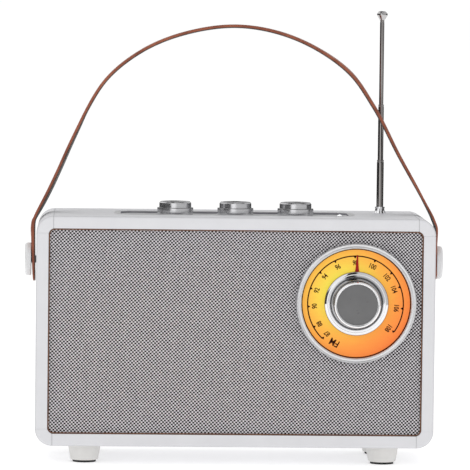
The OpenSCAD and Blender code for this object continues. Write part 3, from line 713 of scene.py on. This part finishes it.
def woven_threads(name, upright, half, material, seed):
    """Half of the threads of one direction of a plain weave, passing over and under the others."""
    rng = np.random.RandomState(seed + half)
    cosine, sine = cos(WEAVE_TURN), sin(WEAVE_TURN)
    wide = OPENING.x * cosine + OPENING.z * abs(sine)
    tall = OPENING.z * cosine + OPENING.x * abs(sine)
    across, along = (wide, tall) if upright else (tall, wide)
    count = int(across / PITCH) + 1
    first = half * (count // 2)
    last = count if half else count // 2
    crossings = int(along / PITCH) + 1
    columns = np.arange(crossings * STEPS + 1) - STEPS // 2
    run = (columns / STEPS - (crossings - 1) / 2) * PITCH
    n = len(SECTION)
    points, quads = [], []
    for index in range(first, last):
        offset = (index - (count - 1) / 2) * PITCH
        parity = index % 2 if upright else (index + 1) % 2
        wave = WAVE_HEIGHT * np.cos(np.pi * (columns / STEPS + parity))
        slow = columns[:: 12 * STEPS]
        quick = columns[:: 3 * STEPS]
        drift = np.interp(columns, slow, rng.normal(0, 0.015 * PITCH, len(slow)))
        swell = 1 + np.interp(columns, quick, rng.normal(0, 0.03, len(quick)))
        rows = []
        for across_share, height_share in SECTION:
            side = offset + drift + across_share * THREAD_WIDTH * swell
            depth = CLOTH_FRONT + THREAD_DEPTH - wave - height_share * RIDGE_HEIGHT
            x, z = (side, run) if upright else (run, side)
            place = (x * cosine - z * sine, depth, Z_MID + x * sine + z * cosine)
            rows.append(np.stack(np.broadcast_arrays(*place), axis=1))
        grid = np.stack(rows, axis=1)
        base = (index - first) * len(columns) * n
        ids = base + np.arange(len(columns) * n).reshape(len(columns), n)
        cells = np.stack([ids[:-1, :-1], ids[:-1, 1:], ids[1:, 1:], ids[1:, :-1]], axis=-1)
        centre = (grid[:-1, :-1] + grid[1:, 1:]).reshape(-1, 3) / 2
        points.append(grid.reshape(-1, 3))
        quads.append(cells.reshape(-1, 4)[in_opening(centre[:, 0], centre[:, 2], EDGE)])
    points = np.concatenate(points)
    quads = np.concatenate(quads)
    if not upright:
        quads = quads[:, ::-1]
    used, renumbered = np.unique(quads, return_inverse=True)
    mesh = bpy.data.meshes.new(name)
    mesh.vertices.add(len(used))
    mesh.vertices.foreach_set("co", points[used].ravel())
    mesh.loops.add(quads.size)
    mesh.loops.foreach_set("vertex_index", renumbered.ravel().astype(np.int32))
    mesh.polygons.add(len(quads))
    mesh.polygons.foreach_set("loop_start", np.arange(0, quads.size, 4, dtype=np.int32))
    mesh.update(calc_edges=True)
    mesh.validate()
    return new_piece(name, mesh, material, "grille_cloth", smooth=80)


def cloth_shade_sheet():
    """A dark flat sheet behind the threads, with the dial's hole: painted shade seen through the gaps of
    the weave.
    """
    outline = [Vector((x, z)) for x, z in opening_path(0.1 * MM)]
    turns = [2 * pi * k / 96 for k in range(96)]
    around = [Vector((cos(turn), sin(turn))) for turn in turns]
    hole = [Vector((DIAL.x, DIAL.z)) + DIAL_HOLE * point for point in around]
    work = bmesh.new()
    edges = []
    for loop in (outline, hole):
        ring = [work.verts.new((p.x, CLOTH_FRONT + SHADE_SHEET_DEPTH, p.y)) for p in loop]
        edges += [work.edges.new((a, b)) for a, b in zip(ring, ring[1:] + ring[:1])]
    bmesh.ops.triangle_fill(work, edges=edges, use_beauty=True, normal=(0, -1, 0))
    mesh = bpy.data.meshes.new("cloth_shade_sheet")
    work.to_mesh(mesh)
    work.free()
    return new_piece("cloth_shade_sheet", mesh, SHADE_SHEET, "grille_cloth")


threads = [
    woven_threads("cloth_warp_left", True, 0, PALE_THREAD, 11),
    woven_threads("cloth_warp_right", True, 1, PALE_THREAD, 11),
    woven_threads("cloth_weft_lower", False, 0, DARK_THREAD, 23),
    woven_threads("cloth_weft_upper", False, 1, DARK_THREAD, 23),
]
shade_sheet = cloth_shade_sheet()


# ---- dial ----


def ring_of(vertices, faces, radius, half_width, start, end, height, steps, centre=DIAL):
    """Adds a flat arc to a print, from one angle to another, clockwise from straight up."""
    base = len(vertices)
    for k in range(steps + 1):
        turn = radians(start + (end - start) * k / steps)
        for r in (radius - half_width, radius + half_width):
            vertices.append(on_dial(r, turn, height, centre))
    for k in range(steps):
        a = base + 2 * k
        faces.append((a, a + 1, a + 3, a + 2))


def on_dial(radius, turn, height, centre=DIAL):
    """A point on the dial: radius and height in millimetres, clockwise angle from straight up."""
    x = centre.x + radius * MM * sin(turn)
    return Vector((x, centre.y - height * MM, centre.z + radius * MM * cos(turn)))


SCALE_MARKS = {
    "87": -137, "88": -119.5, "90": -93.7, "92": -71.3, "94": -48.9, "96": -26.2,
    "98": -1.2, "100": 23.6, "102": 48.9, "104": 68.7, "106": 95.3, "108": 125.7,
}
# The print lies a little left of and below the dial's centre. Its radii and heights are millimetres.
PRINT_CENTRE = DIAL + Vector((-0.5 * MM, 0, -0.35 * MM))
PRINT_HEIGHT = -0.66
ARC_RADIUS = 33.6
TICK_DEPTH = 1.9
TICK_HALF_WIDTH = 1.15
EDGE_SHADE_RADIUS = 38.15
NUMBER_RADIUS = 28.7
BAND_RADIUS = 30.8
BAND_ANGLE = -152
# Degrees clockwise from straight up, as the needle rests in the frame
NEEDLE_REST = 0.7


def lettering(text, height, radius, angle, squeeze, weight):
    """Vertices and faces of a word on the dial, its foot towards the centre."""
    curve = bpy.data.curves.new("word", "FONT")
    curve.body = text
    curve.align_x = "CENTER"
    curve.align_y = "CENTER"
    curve.size = height / 0.7
    curve.offset = weight
    curve.resolution_u = 3
    holder = linked("word", curve)
    bpy.context.view_layer.update()
    flat = bpy.data.meshes.new_from_object(holder.evaluated_get(bpy.context.evaluated_depsgraph_get()))
    turn = radians(angle)
    centre = on_dial(radius, turn, PRINT_HEIGHT, PRINT_CENTRE)
    sideways = Vector((cos(turn), 0, -sin(turn))) * squeeze * MM
    out = Vector((sin(turn), 0, cos(turn))) * MM
    points = [centre + sideways * v.co.x + out * v.co.y for v in flat.vertices]
    faces = [tuple(p.vertices) for p in flat.polygons]
    bpy.data.objects.remove(holder)
    bpy.data.meshes.remove(flat)
    bpy.data.curves.remove(curve)
    return points, faces


def add_dial_print_and_edge_shade():
    """The printed scale: an arc with a tick at each number, the numbers and the band, and a dark ring at
    the edge that is painted shade in the gap to the bezel.
    """
    vertices, faces = [], []
    angles = list(SCALE_MARKS.values())
    ring_of(vertices, faces, ARC_RADIUS, 0.44, angles[0], angles[-1], PRINT_HEIGHT, 120, PRINT_CENTRE)
    # painted shade: a dark ring at the scale's edge, where the bezel shades the gap
    ring_of(vertices, faces, EDGE_SHADE_RADIUS, 0.38, 0, 360, PRINT_HEIGHT, 160)
    half = degrees(TICK_HALF_WIDTH / ARC_RADIUS)
    for angle in angles:
        base = len(vertices)
        for radius, turn in ((ARC_RADIUS, -half), (ARC_RADIUS, half), (ARC_RADIUS - TICK_DEPTH, 0)):
            vertices.append(on_dial(radius, radians(angle + turn), PRINT_HEIGHT, PRINT_CENTRE))
        faces.append((base, base + 1, base + 2))
    words = [(text, 3.4, NUMBER_RADIUS, angle, 0.76, 0.13) for text, angle in SCALE_MARKS.items()]
    words.append(("FM", 4.8, BAND_RADIUS, BAND_ANGLE, 0.84, 0.16))
    for word in words:
        points, word_faces = lettering(*word)
        faces += shifted(word_faces, len(vertices))
        vertices += points
    mesh = mesh_from("dial_print_and_edge_shade", vertices, faces)
    for face in [face for face in mesh.polygons if face.normal.y > 0]:
        face.flip()
    mesh.update()
    new_piece("dial_print_and_edge_shade", mesh, INK_AND_SHADE, "dial_scale", replaces=False)


def add_bezel():
    """A ring with a raised outer bead and a slope down to the scale."""
    outer = radius_of("dial_bezel")
    inner = outer - 4
    rear, proud = reach_of("dial_bezel")
    corners = [
        (inner + 2.1, rear, 0), (inner + 2.1, -2.4, 0.1), (outer, -2.4, 0.1), (outer, proud - 1.0, 0.7),
        (outer - 0.7, proud, 0.4), (outer - 1.8, proud - 0.5, 0.9), (inner + 1.1, proud - 0.1, 0.6),
        (inner + 0.3, proud - 0.7, 0.25), (inner + 0.3, -0.62, 0.05), (inner + 1.1, -0.62, 0),
    ]
    lathe("bezel_ring", corners, SATIN_SILVER, "dial_bezel", [DIAL], True, segments=192, steps=8)


def add_tuning_knob():
    """Chrome knob: a rounded flange, a hollow waist and a bright lip round the grey face."""
    flange = radius_of("tuning_knob")
    rear, reach = reach_of("tuning_knob")
    face_radius = radius_of("tuning_knob_face")
    lip = face_radius + 1.5
    corners = [
        (flange - 1.0, rear, 0), (flange, rear + 0.2, 0.3), (flange, rear + 2.6, 1.5),
        (flange - 2.1, rear + 3.6, 1.7), (flange - 4.0, rear + 2.7, 0.7),
        (flange - 4.5, rear + 2.0, 0.25), (flange - 5.0, rear + 2.9, 0.4), (lip + 0.2, rear + 4.4, 1.2),
        (lip - 0.3, rear + 7.0, 0.8), (lip - 0.3, reach - 1.9, 0.3), (lip, reach - 1.3, 0.2),
        (lip, reach, 1.0), (face_radius + 0.05, reach, 0.5), (face_radius + 0.05, reach - 1.6, 0.1),
        (0, reach - 1.6, 0),
    ]
    lathe("knob_chrome", corners, KNOB_CHROME, "tuning_knob", [DIAL], True, segments=192, steps=10)


def add_knob_face():
    """The grey disc in the knob, with a narrow groove round it."""
    groove = 0.3
    radius = radius_of("tuning_knob_face") - groove
    front = reach_of("tuning_knob_face")[1]
    corners = [
        (0, front - 1, 0), (radius, front - 1, 0.1), (radius, front - 0.15, 0.25),
        (radius - 0.5, front, 0.2), (0, front, 0),
    ]
    lathe("knob_face", corners, FACE, "tuning_knob_face", [DIAL], True)


def add_index_dot():
    """The small red mark on the knob's lip."""
    place = on_dial(15.6, 0, reach_of("tuning_knob")[1])
    corners = [(0.42, -0.2, 0), (0.42, 0.02, 0), (0.3, 0.06, 0), (0, 0.07, 0)]
    lathe("knob_index", corners, NEEDLE, "tuning_knob", [place], True, False, 24)


def add_needle():
    """A tapered pointer with a raised ridge, broad at the knob."""
    rest = radians(NEEDLE_REST)
    rear, front = reach_of("dial_needle")
    stations = [(8.8, 1.6), (22, 1.6), (25, 1.1), (28, 0.8), (34, 0.45)]
    section = ((-1, rear), (-1, front - 0.2), (0, front), (1, front - 0.2), (1, rear))
    sideways = Vector((cos(rest), 0, -sin(rest))) * MM
    vertices = []
    for radius, half in stations:
        vertices += [on_dial(radius, rest, height) + sideways * side * half for side, height in section]
    mesh = mesh_from("pointer", vertices, tube_faces(len(stations), len(section), capped=True))
    face_outwards(mesh)
    new_piece("pointer", mesh, NEEDLE, "dial_needle", smooth=20)


add_dial_print_and_edge_shade()
add_bezel()
add_tuning_knob()
add_knob_face()
add_index_dot()
add_needle()


# ---- top controls ----


def add_top_knob(name):
    """Two steps, each with a small chamfer, and a shallow dish in the top."""
    node = name + "_knob"
    base = radius_of(node)
    upper = base - 1.45
    height = size(node).z / MM
    step = 0.53 * height
    corners = [
        (base - 1.8, 0, 0), (base, 0, 0.25), (base, step, 0.35), (upper, step, 0.12),
        (upper, height - 1.0, 0.2), (upper - 0.9, height, 0.35), (upper - 2.2, height, 0.3),
        (upper - 2.9, height - 0.45, 0.3), (0, height - 0.6, 0),
    ]
    lathe(name + "_cap", corners, KNOB_METALS[name], node, [foot_of(node)])


for name in KNOB_METALS:
    add_top_knob(name)
bevelled_copy("trim_ring", "control_trim", SATIN_SILVER, 0.3 * MM)


def add_recess_shade_band():
    """A thin dark band along the trim ring's inner wall, above the plate: painted shade for the shadowed
    wall of the recess.
    """
    rim = 4.5 * MM
    corner = CORNER - rim
    half_w = size("control_trim").x / 2 - rim - corner
    half_d = size("control_trim").y / 2 - rim - corner
    floor = high("control_plate").z
    top = high("control_trim").z - 0.35 * MM
    thick = 0.25 * MM
    centre = middle("control_trim")
    outer = rounded_rectangle(centre, half_w, half_d, corner)
    inner = rounded_rectangle(centre, half_w, half_d, corner - thick)
    vertices = []
    for far, near in zip(outer, inner):
        vertices += [(*far, floor), (*far, top), (*near, top), (*near, floor)]
    mesh = mesh_from("recess_shade_band", vertices, tube_faces(len(outer), 4, joined=True))
    new_piece("recess_shade_band", mesh, RECESS_SHADE, "control_trim", replaces=False)


add_recess_shade_band()
bevelled_copy("plate", "control_plate", PLATE, 0.2 * MM)


# ---- aerial ----


def tube_corners(node, lip):
    """A thin tube that closes slightly at its rolled upper end."""
    radius = radius_of(node)
    length = size(node).z / MM
    return [
        (0, 0, 0), (radius, 0, 0.2), (radius, length - 1.6, 0.1), (radius - 0.12, length - 1.4, 0.1),
        (radius - 0.12, length - 0.9, 0.1), (radius, length - 0.7, 0.2), (radius, length, 0.35),
        (lip, length, 0),
    ]


def add_aerial():
    """Three tubes, each thinner than the one below, and a chromed tip."""
    inner = {"aerial_lower": 2.05, "aerial_middle": 1.6, "aerial_upper": 0.0}
    for node, lip in inner.items():
        lathe(node + "_tube", tube_corners(node, lip), SHADED_ROD_CHROME, node, [foot_of(node)], segments=64)
    tip = radius_of("aerial_tip")
    height = size("aerial_tip").z / MM
    corners = [
        (0, 0, 0), (1.75, 0, 0), (tip, 0.55 * height, 0.6), (tip, 0.72 * height, 0.5),
        (tip - 1.6, height, 1.8), (0, height, 0),
    ]
    lathe("aerial_knob", corners, TIP_CHROME, "aerial_tip", [foot_of("aerial_tip")], segments=96)


add_aerial()


# ---- feet and caps ----


def add_feet():
    """Four tapered feet, each on a rubber pad."""
    radius = 11.8
    height = size("feet").z / MM
    lo, hi = low("feet"), high("feet")
    places = [
        Vector((x, y, lo.z))
        for x in (lo.x + radius * MM, hi.x - radius * MM)
        for y in (lo.y + radius * MM, hi.y - radius * MM)
    ]
    corners = [
        (0, 0, 0), (radius - 2.0, 0, 0.8), (radius - 0.35, height - 1.6, 0.5),
        (radius, height - 1.2, 0.3), (radius, height, 0),
    ]
    lathe("turned_feet", corners, FOOT_WHITE, "feet", places)
    pad = size("foot_pads").z / MM
    pad_radius = 8.25
    corners = [(0, 0, 0), (pad_radius, 0, 0.4), (pad_radius, pad, 0), (0, pad, 0)]
    pads = [Vector((p.x, p.y, low("foot_pads").z)) for p in places]
    lathe("rubber_pads", corners, RUBBER, "foot_pads", pads)


def add_caps():
    """Round caps on the strap's pivots, with a shallow dish."""
    radius = size("strap_caps").y / 2 / MM
    thick = (high("strap_caps").x - high("strap").x) / MM + 0.6
    corners = [
        (2.7, 0, 0), (radius, 0, 0.5), (radius, thick, 2.2), (radius - 4.5, thick, 0.4),
        (radius - 5.1, thick - 0.5, 0.4), (0, thick - 0.7, 0),
    ]
    one, one_faces = turned(rounded(corners, 8), [(0, 0, 0)])
    vertices, faces = [], []
    for sign, x in ((1, high("strap_caps").x), (-1, low("strap_caps").x)):
        faces += shifted(one_faces, len(vertices))
        vertices += [(x - sign * (thick * MM - v.z), PIVOT.y + v.x, PIVOT.z + v.y) for v in one]
    mesh = mesh_from("pivot_caps", vertices, faces)
    face_outwards(mesh)
    new_piece("pivot_caps", mesh, CAP_WHITE, "strap_caps")


add_feet()
add_caps()


# ---- strap ----

# Points of the strap's middle line from the left end over the arch to the right end:
# x, height above the case top, thickness and how far the rear edge leans outwards, in millimetres.
STRAP_LINE = [
    (-142.0, -48.8, 1.6, 0.0), (-142.3, -43, 2.1, 0.2), (-142.6, -35, 2.5, 0.5),
    (-143.0, -19, 2.8, 0.7), (-143.15, -11.5, 2.8, 0.9), (-142.75, -7, 2.7, 0.5),
    (-141.0, -2.8, 2.5, -0.6), (-137.8, 3.2, 2.5, -1.2), (-133.0, 12.5, 2.7, -1.2),
    (-125.5, 28.6, 2.6, -1.2), (-117.5, 47, 2.6, -1.0), (-111.1, 61, 2.6, -0.6),
    (-105.6, 72.8, 2.5, -0.2), (-92, 94.5, 2.3, 0), (-67, 115, 2.3, 0), (-29, 129.7, 2.3, 0),
    (0, 133.2, 2.3, 0.1), (31, 128.6, 2.3, 0.5), (58, 117.4, 2.3, 0.9), (82, 100, 2.5, 1.4),
    (98, 77.6, 2.4, 1.5), (117, 42, 2.2, 1.4), (135.0, 10, 2.1, 0.9), (141.9, -3.5, 2.0, 0.3),
    (143.8, -8.8, 1.9, 0.3), (144.0, -12.5, 1.8, 0.5), (143.95, -18, 1.5, 0.6),
    (143.9, -45.4, 1.4, 0.6),
]
STRAP_WIDTH = 21.0
END_ROUNDING = 6.0
STATION_SPACING = 1.6
USUAL_THICKNESS = 2.3
LINING_SHARE = 0.28
STITCH_INSET = 2.2


def smooth_line(points, spacing):
    """A smooth curve through points, each span weighted by its own length."""
    points = np.array(points, float)
    gaps = np.hypot(*np.diff(points[:, :2], axis=0).T)
    spans = np.diff(points, axis=0) / gaps[:, None]
    before, after = gaps[:-1, None], gaps[1:, None]
    inner = (spans[:-1] * after + spans[1:] * before) / (before + after)
    slopes = np.concatenate([spans[:1], inner, spans[-1:]])
    curve = []
    for k in range(len(points) - 1):
        count = max(2, int(round(gaps[k] / spacing)))
        for step in range(count):
            t = step / count
            blend = (2 * t**3 - 3 * t**2 + 1, t**3 - 2 * t**2 + t, -2 * t**3 + 3 * t**2, t**3 - t**2)
            place = points[k] * blend[0] + slopes[k] * gaps[k] * blend[1]
            curve.append(place + points[k + 1] * blend[2] + slopes[k + 1] * gaps[k] * blend[3])
    curve.append(points[-1])
    return np.array(curve)


def strap_stations():
    """Places along the strap with the outward normal, thickness, lean and half width."""
    curve = smooth_line(STRAP_LINE, STATION_SPACING)
    along = np.gradient(curve[:, :2], axis=0)
    along /= np.hypot(along[:, 0], along[:, 1])[:, None]
    travelled = np.concatenate([[0], np.cumsum(np.hypot(*np.diff(curve[:, :2], axis=0).T))])
    stations = []
    for row, (dx, dz), run in zip(curve, along, travelled):
        from_end = min(run, travelled[-1] - run)
        cut = max(0.0, END_ROUNDING - from_end)
        half = STRAP_WIDTH / 2 - END_ROUNDING + sqrt(max(0.0, END_ROUNDING**2 - cut**2))
        stations.append((row[0], row[1], -dz, dx, row[2], row[3], half))
    return stations


def strap_point(station, across, outward):
    """A point of the strap: across from -1 (front) to 1 (rear), outward in millimetres."""
    x, z, nx, nz, _, lean, half = station
    shift = outward + lean / 2 * across
    y = PIVOT.y + across * half * MM
    return Vector(((x + nx * shift) * MM, y, Z_TOP + (z + nz * shift) * MM))


def swept_band(name, material, stations, section, replaces):
    """A closed band through the stations. The section gives (across, outward) of each corner."""
    vertices = []
    for station in stations:
        corners = section(station)
        vertices += [strap_point(station, across, outward) for across, outward in corners]
    mesh = mesh_from(name, vertices, tube_faces(len(stations), len(corners), capped=True))
    face_outwards(mesh)
    return new_piece(name, mesh, material, "strap", replaces, 40)


def leather_section(station):
    """The brown layer: rounded edges and a stitched channel near each one on the outer face."""
    thick, half = station[4], station[6]
    inner = thick * (LINING_SHARE - 0.5)
    outer = thick / 2
    edge = 0.3 * thick / USUAL_THICKNESS
    groove = 0.22
    width = 0.5
    sides = ((-width, outer), (0, outer - groove), (width, outer))
    channel = [(1 - (STITCH_INSET + offset) / half, height) for offset, height in sides]
    outline = [(-1, inner + edge), (-1, outer - edge), (-1 + edge / half, outer)]
    outline += [(-across, height) for across, height in channel] + channel[::-1]
    outline += [(1 - edge / half, outer), (1, outer - edge), (1, inner + edge)]
    outline += [(1 - edge / half, inner), (-1 + edge / half, inner)]
    return outline


def lining_section(station):
    """The grey layer under it, a little narrower."""
    thick, half = station[4], station[6]
    top = thick * (LINING_SHARE - 0.5)
    bottom = -thick / 2
    edge = 0.25 * thick / USUAL_THICKNESS
    inset = 1 - 0.2 / half
    return [
        (-inset, top), (inset, top), (inset, bottom + edge), (inset - edge / half, bottom),
        (-inset + edge / half, bottom), (-inset, bottom + edge),
    ]


def add_stitches(stations):
    """Short slanted stitches that lie in the channels of the outer face."""
    vertices, faces = [], []
    for k in range(3, len(stations) - 5, 2):
        one, two = stations[k], stations[k + 1]
        for sign in (-1, 1):
            faces += shifted(tube_faces(2, 3, capped=True), len(vertices))
            for station in (one, two):
                across = sign * (1 - STITCH_INSET / station[6])
                top = station[4] / 2 + 0.02
                reach = 0.22 / station[6]
                for shift, height in ((-reach, top - 0.2), (0, top), (reach, top - 0.2)):
                    vertices.append(strap_point(station, across + shift, height))
    mesh = mesh_from("strap_stitches", vertices, faces)
    face_outwards(mesh)
    new_piece("strap_stitches", mesh, STITCH, "strap", False, 60)


STATIONS = strap_stations()
swept_band("strap_leather", STRAP, STATIONS, leather_section, True)
swept_band("strap_lining", LINING, STATIONS, lining_section, False)
add_stitches(STATIONS)


# ---- rear ----

bevelled_copy("back_panel", "rear_panel", REAR, 0.4 * MM)
bevelled_copy("back_screws", "rear_screws", STEEL, 0.12 * MM, 2)
bevelled_copy("back_socket_plate", "socket_plate", BLACK, 0.2 * MM)


# ---- light, floor and world ----

LIT_POINT = Vector((0, 0, 0.1))
ROOM_LIGHT = 0.72


def add_area(name, place, width, height, power):
    """A soft light that points at the radio and does not show in its chrome."""
    data = bpy.data.lights.new(name, "AREA")
    data.shape = "RECTANGLE"
    data.size = width
    data.size_y = height
    data.energy = power
    lamp = linked(name, data)
    lamp.location = place
    lamp.rotation_euler = (LIT_POINT - Vector(place)).to_track_quat("-Z", "Y").to_euler()
    lamp.visible_glossy = False


def add_floor():
    """A pale floor that reaches the horizon."""
    half = 150
    corners = [(-half, -half, 0), (half, -half, 0), (half, half, 0), (-half, half, 0)]
    mesh = mesh_from("floor", corners, [(0, 1, 2, 3)])
    material, tree, shader = new_material("pale_floor", roughness=0.9, specular=0.0, emission=0.38)
    mottled(tree, shader, 3, 0.88, 0.9)
    shader.inputs["Emission Color"].default_value = (1, 1, 1, 1)
    mesh.materials.append(material)
    floor = linked("floor", mesh)


def add_reflection_dome():
    """A shell seen only in reflections: soft boxes in front, a ceiling, and a dim room elsewhere."""
    radius = 1.25
    rows, columns = 24, 64
    vertices = []
    for row in range(rows + 1):
        rise = pi / 2 * row / rows
        for column in range(columns):
            turn = 2 * pi * column / columns
            flat = radius * cos(rise)
            vertices.append((flat * cos(turn), flat * sin(turn), radius * sin(rise)))
    mesh = mesh_from("studio_walls", vertices, tube_faces(rows + 1, columns))
    material = bpy.data.materials.new("studio_walls")
    material.use_nodes = True
    tree = material.node_tree
    tree.nodes.clear()
    parts = add(tree, "SeparateXYZ", {"Vector": place_of(tree)}).outputs
    forward = maths(tree, "MULTIPLY", parts[1], -1.0)
    turn = maths(tree, "ARCTAN2", parts[0], forward)
    share = maths(tree, "ADD", maths(tree, "DIVIDE", turn, 2 * pi), 0.5)

    def at(angle):
        return angle / 360 + 0.5

    dim = 0.05
    walls = ramp(
        tree,
        share,
        [
            (at(-180), 0.85), (at(-168), 0.85), (at(-155), dim), (at(-36), dim), (at(-29), 1.15),
            (at(-4), 1.15), (at(8), 0.62), (at(84), 0.58), (at(98), dim), (at(155), dim),
            (at(168), 0.85), (at(180), 0.85),
        ],
    )
    rise = maths(tree, "DIVIDE", parts[2], radius)
    ceiling = ramp(tree, rise, [(0.34, 0.0), (0.46, 1.0), (0.93, 1.0), (0.97, 0.0)])
    overhead = ramp(
        tree,
        maths(tree, "ADD", maths(tree, "DIVIDE", parts[0], 2 * radius), 0.5),
        [(0.02, 0.04), (0.1, 0.98), (0.43, 0.98), (0.455, 0.03), (0.55, 0.03), (0.58, 0.62), (0.72, 0.7)],
    )
    bright = add(tree, "Mix", {"Factor": ceiling}, data_type="RGBA")
    tree.links.new(walls, bright.inputs["A"])
    tree.links.new(overhead, bright.inputs["B"])
    emission = add(tree, "Emission", {"Color": bright.outputs["Result"], "Strength": 1.0})
    output = add(tree, "OutputMaterial")
    tree.links.new(emission.outputs[0], output.inputs["Surface"])
    material.cycles.emission_sampling = "NONE"
    mesh.materials.append(material)
    dome = linked("studio_walls", mesh)
    dome.visible_camera = False
    dome.visible_diffuse = False
    dome.visible_shadow = False
    dome.visible_transmission = False


def add_world():
    """A white studio: dimmer as a light than it is as a backdrop."""
    world = bpy.data.worlds.new("studio")
    world.use_nodes = True
    tree = world.node_tree
    background = tree.nodes["Background"]
    background.inputs["Color"].default_value = (1, 1, 1, 1)
    seen = tree.nodes.new("ShaderNodeLightPath").outputs["Is Camera Ray"]
    strength = maths(tree, "ADD", maths(tree, "MULTIPLY", seen, 1.0 - ROOM_LIGHT), ROOM_LIGHT)
    tree.links.new(strength, background.inputs["Strength"])
    SCENE.world = world


add_area("key", (-1.5, -2.6, 1.5), 1.6, 1.6, 9)
add_area("fill", (1.9, -2.4, 0.9), 1.4, 1.8, 3)
add_area("top", (0, 0.1, 2.4), 2.6, 2.6, 11)
add_floor()
add_reflection_dome()
add_world()
SCENE.view_settings.view_transform = "Standard"
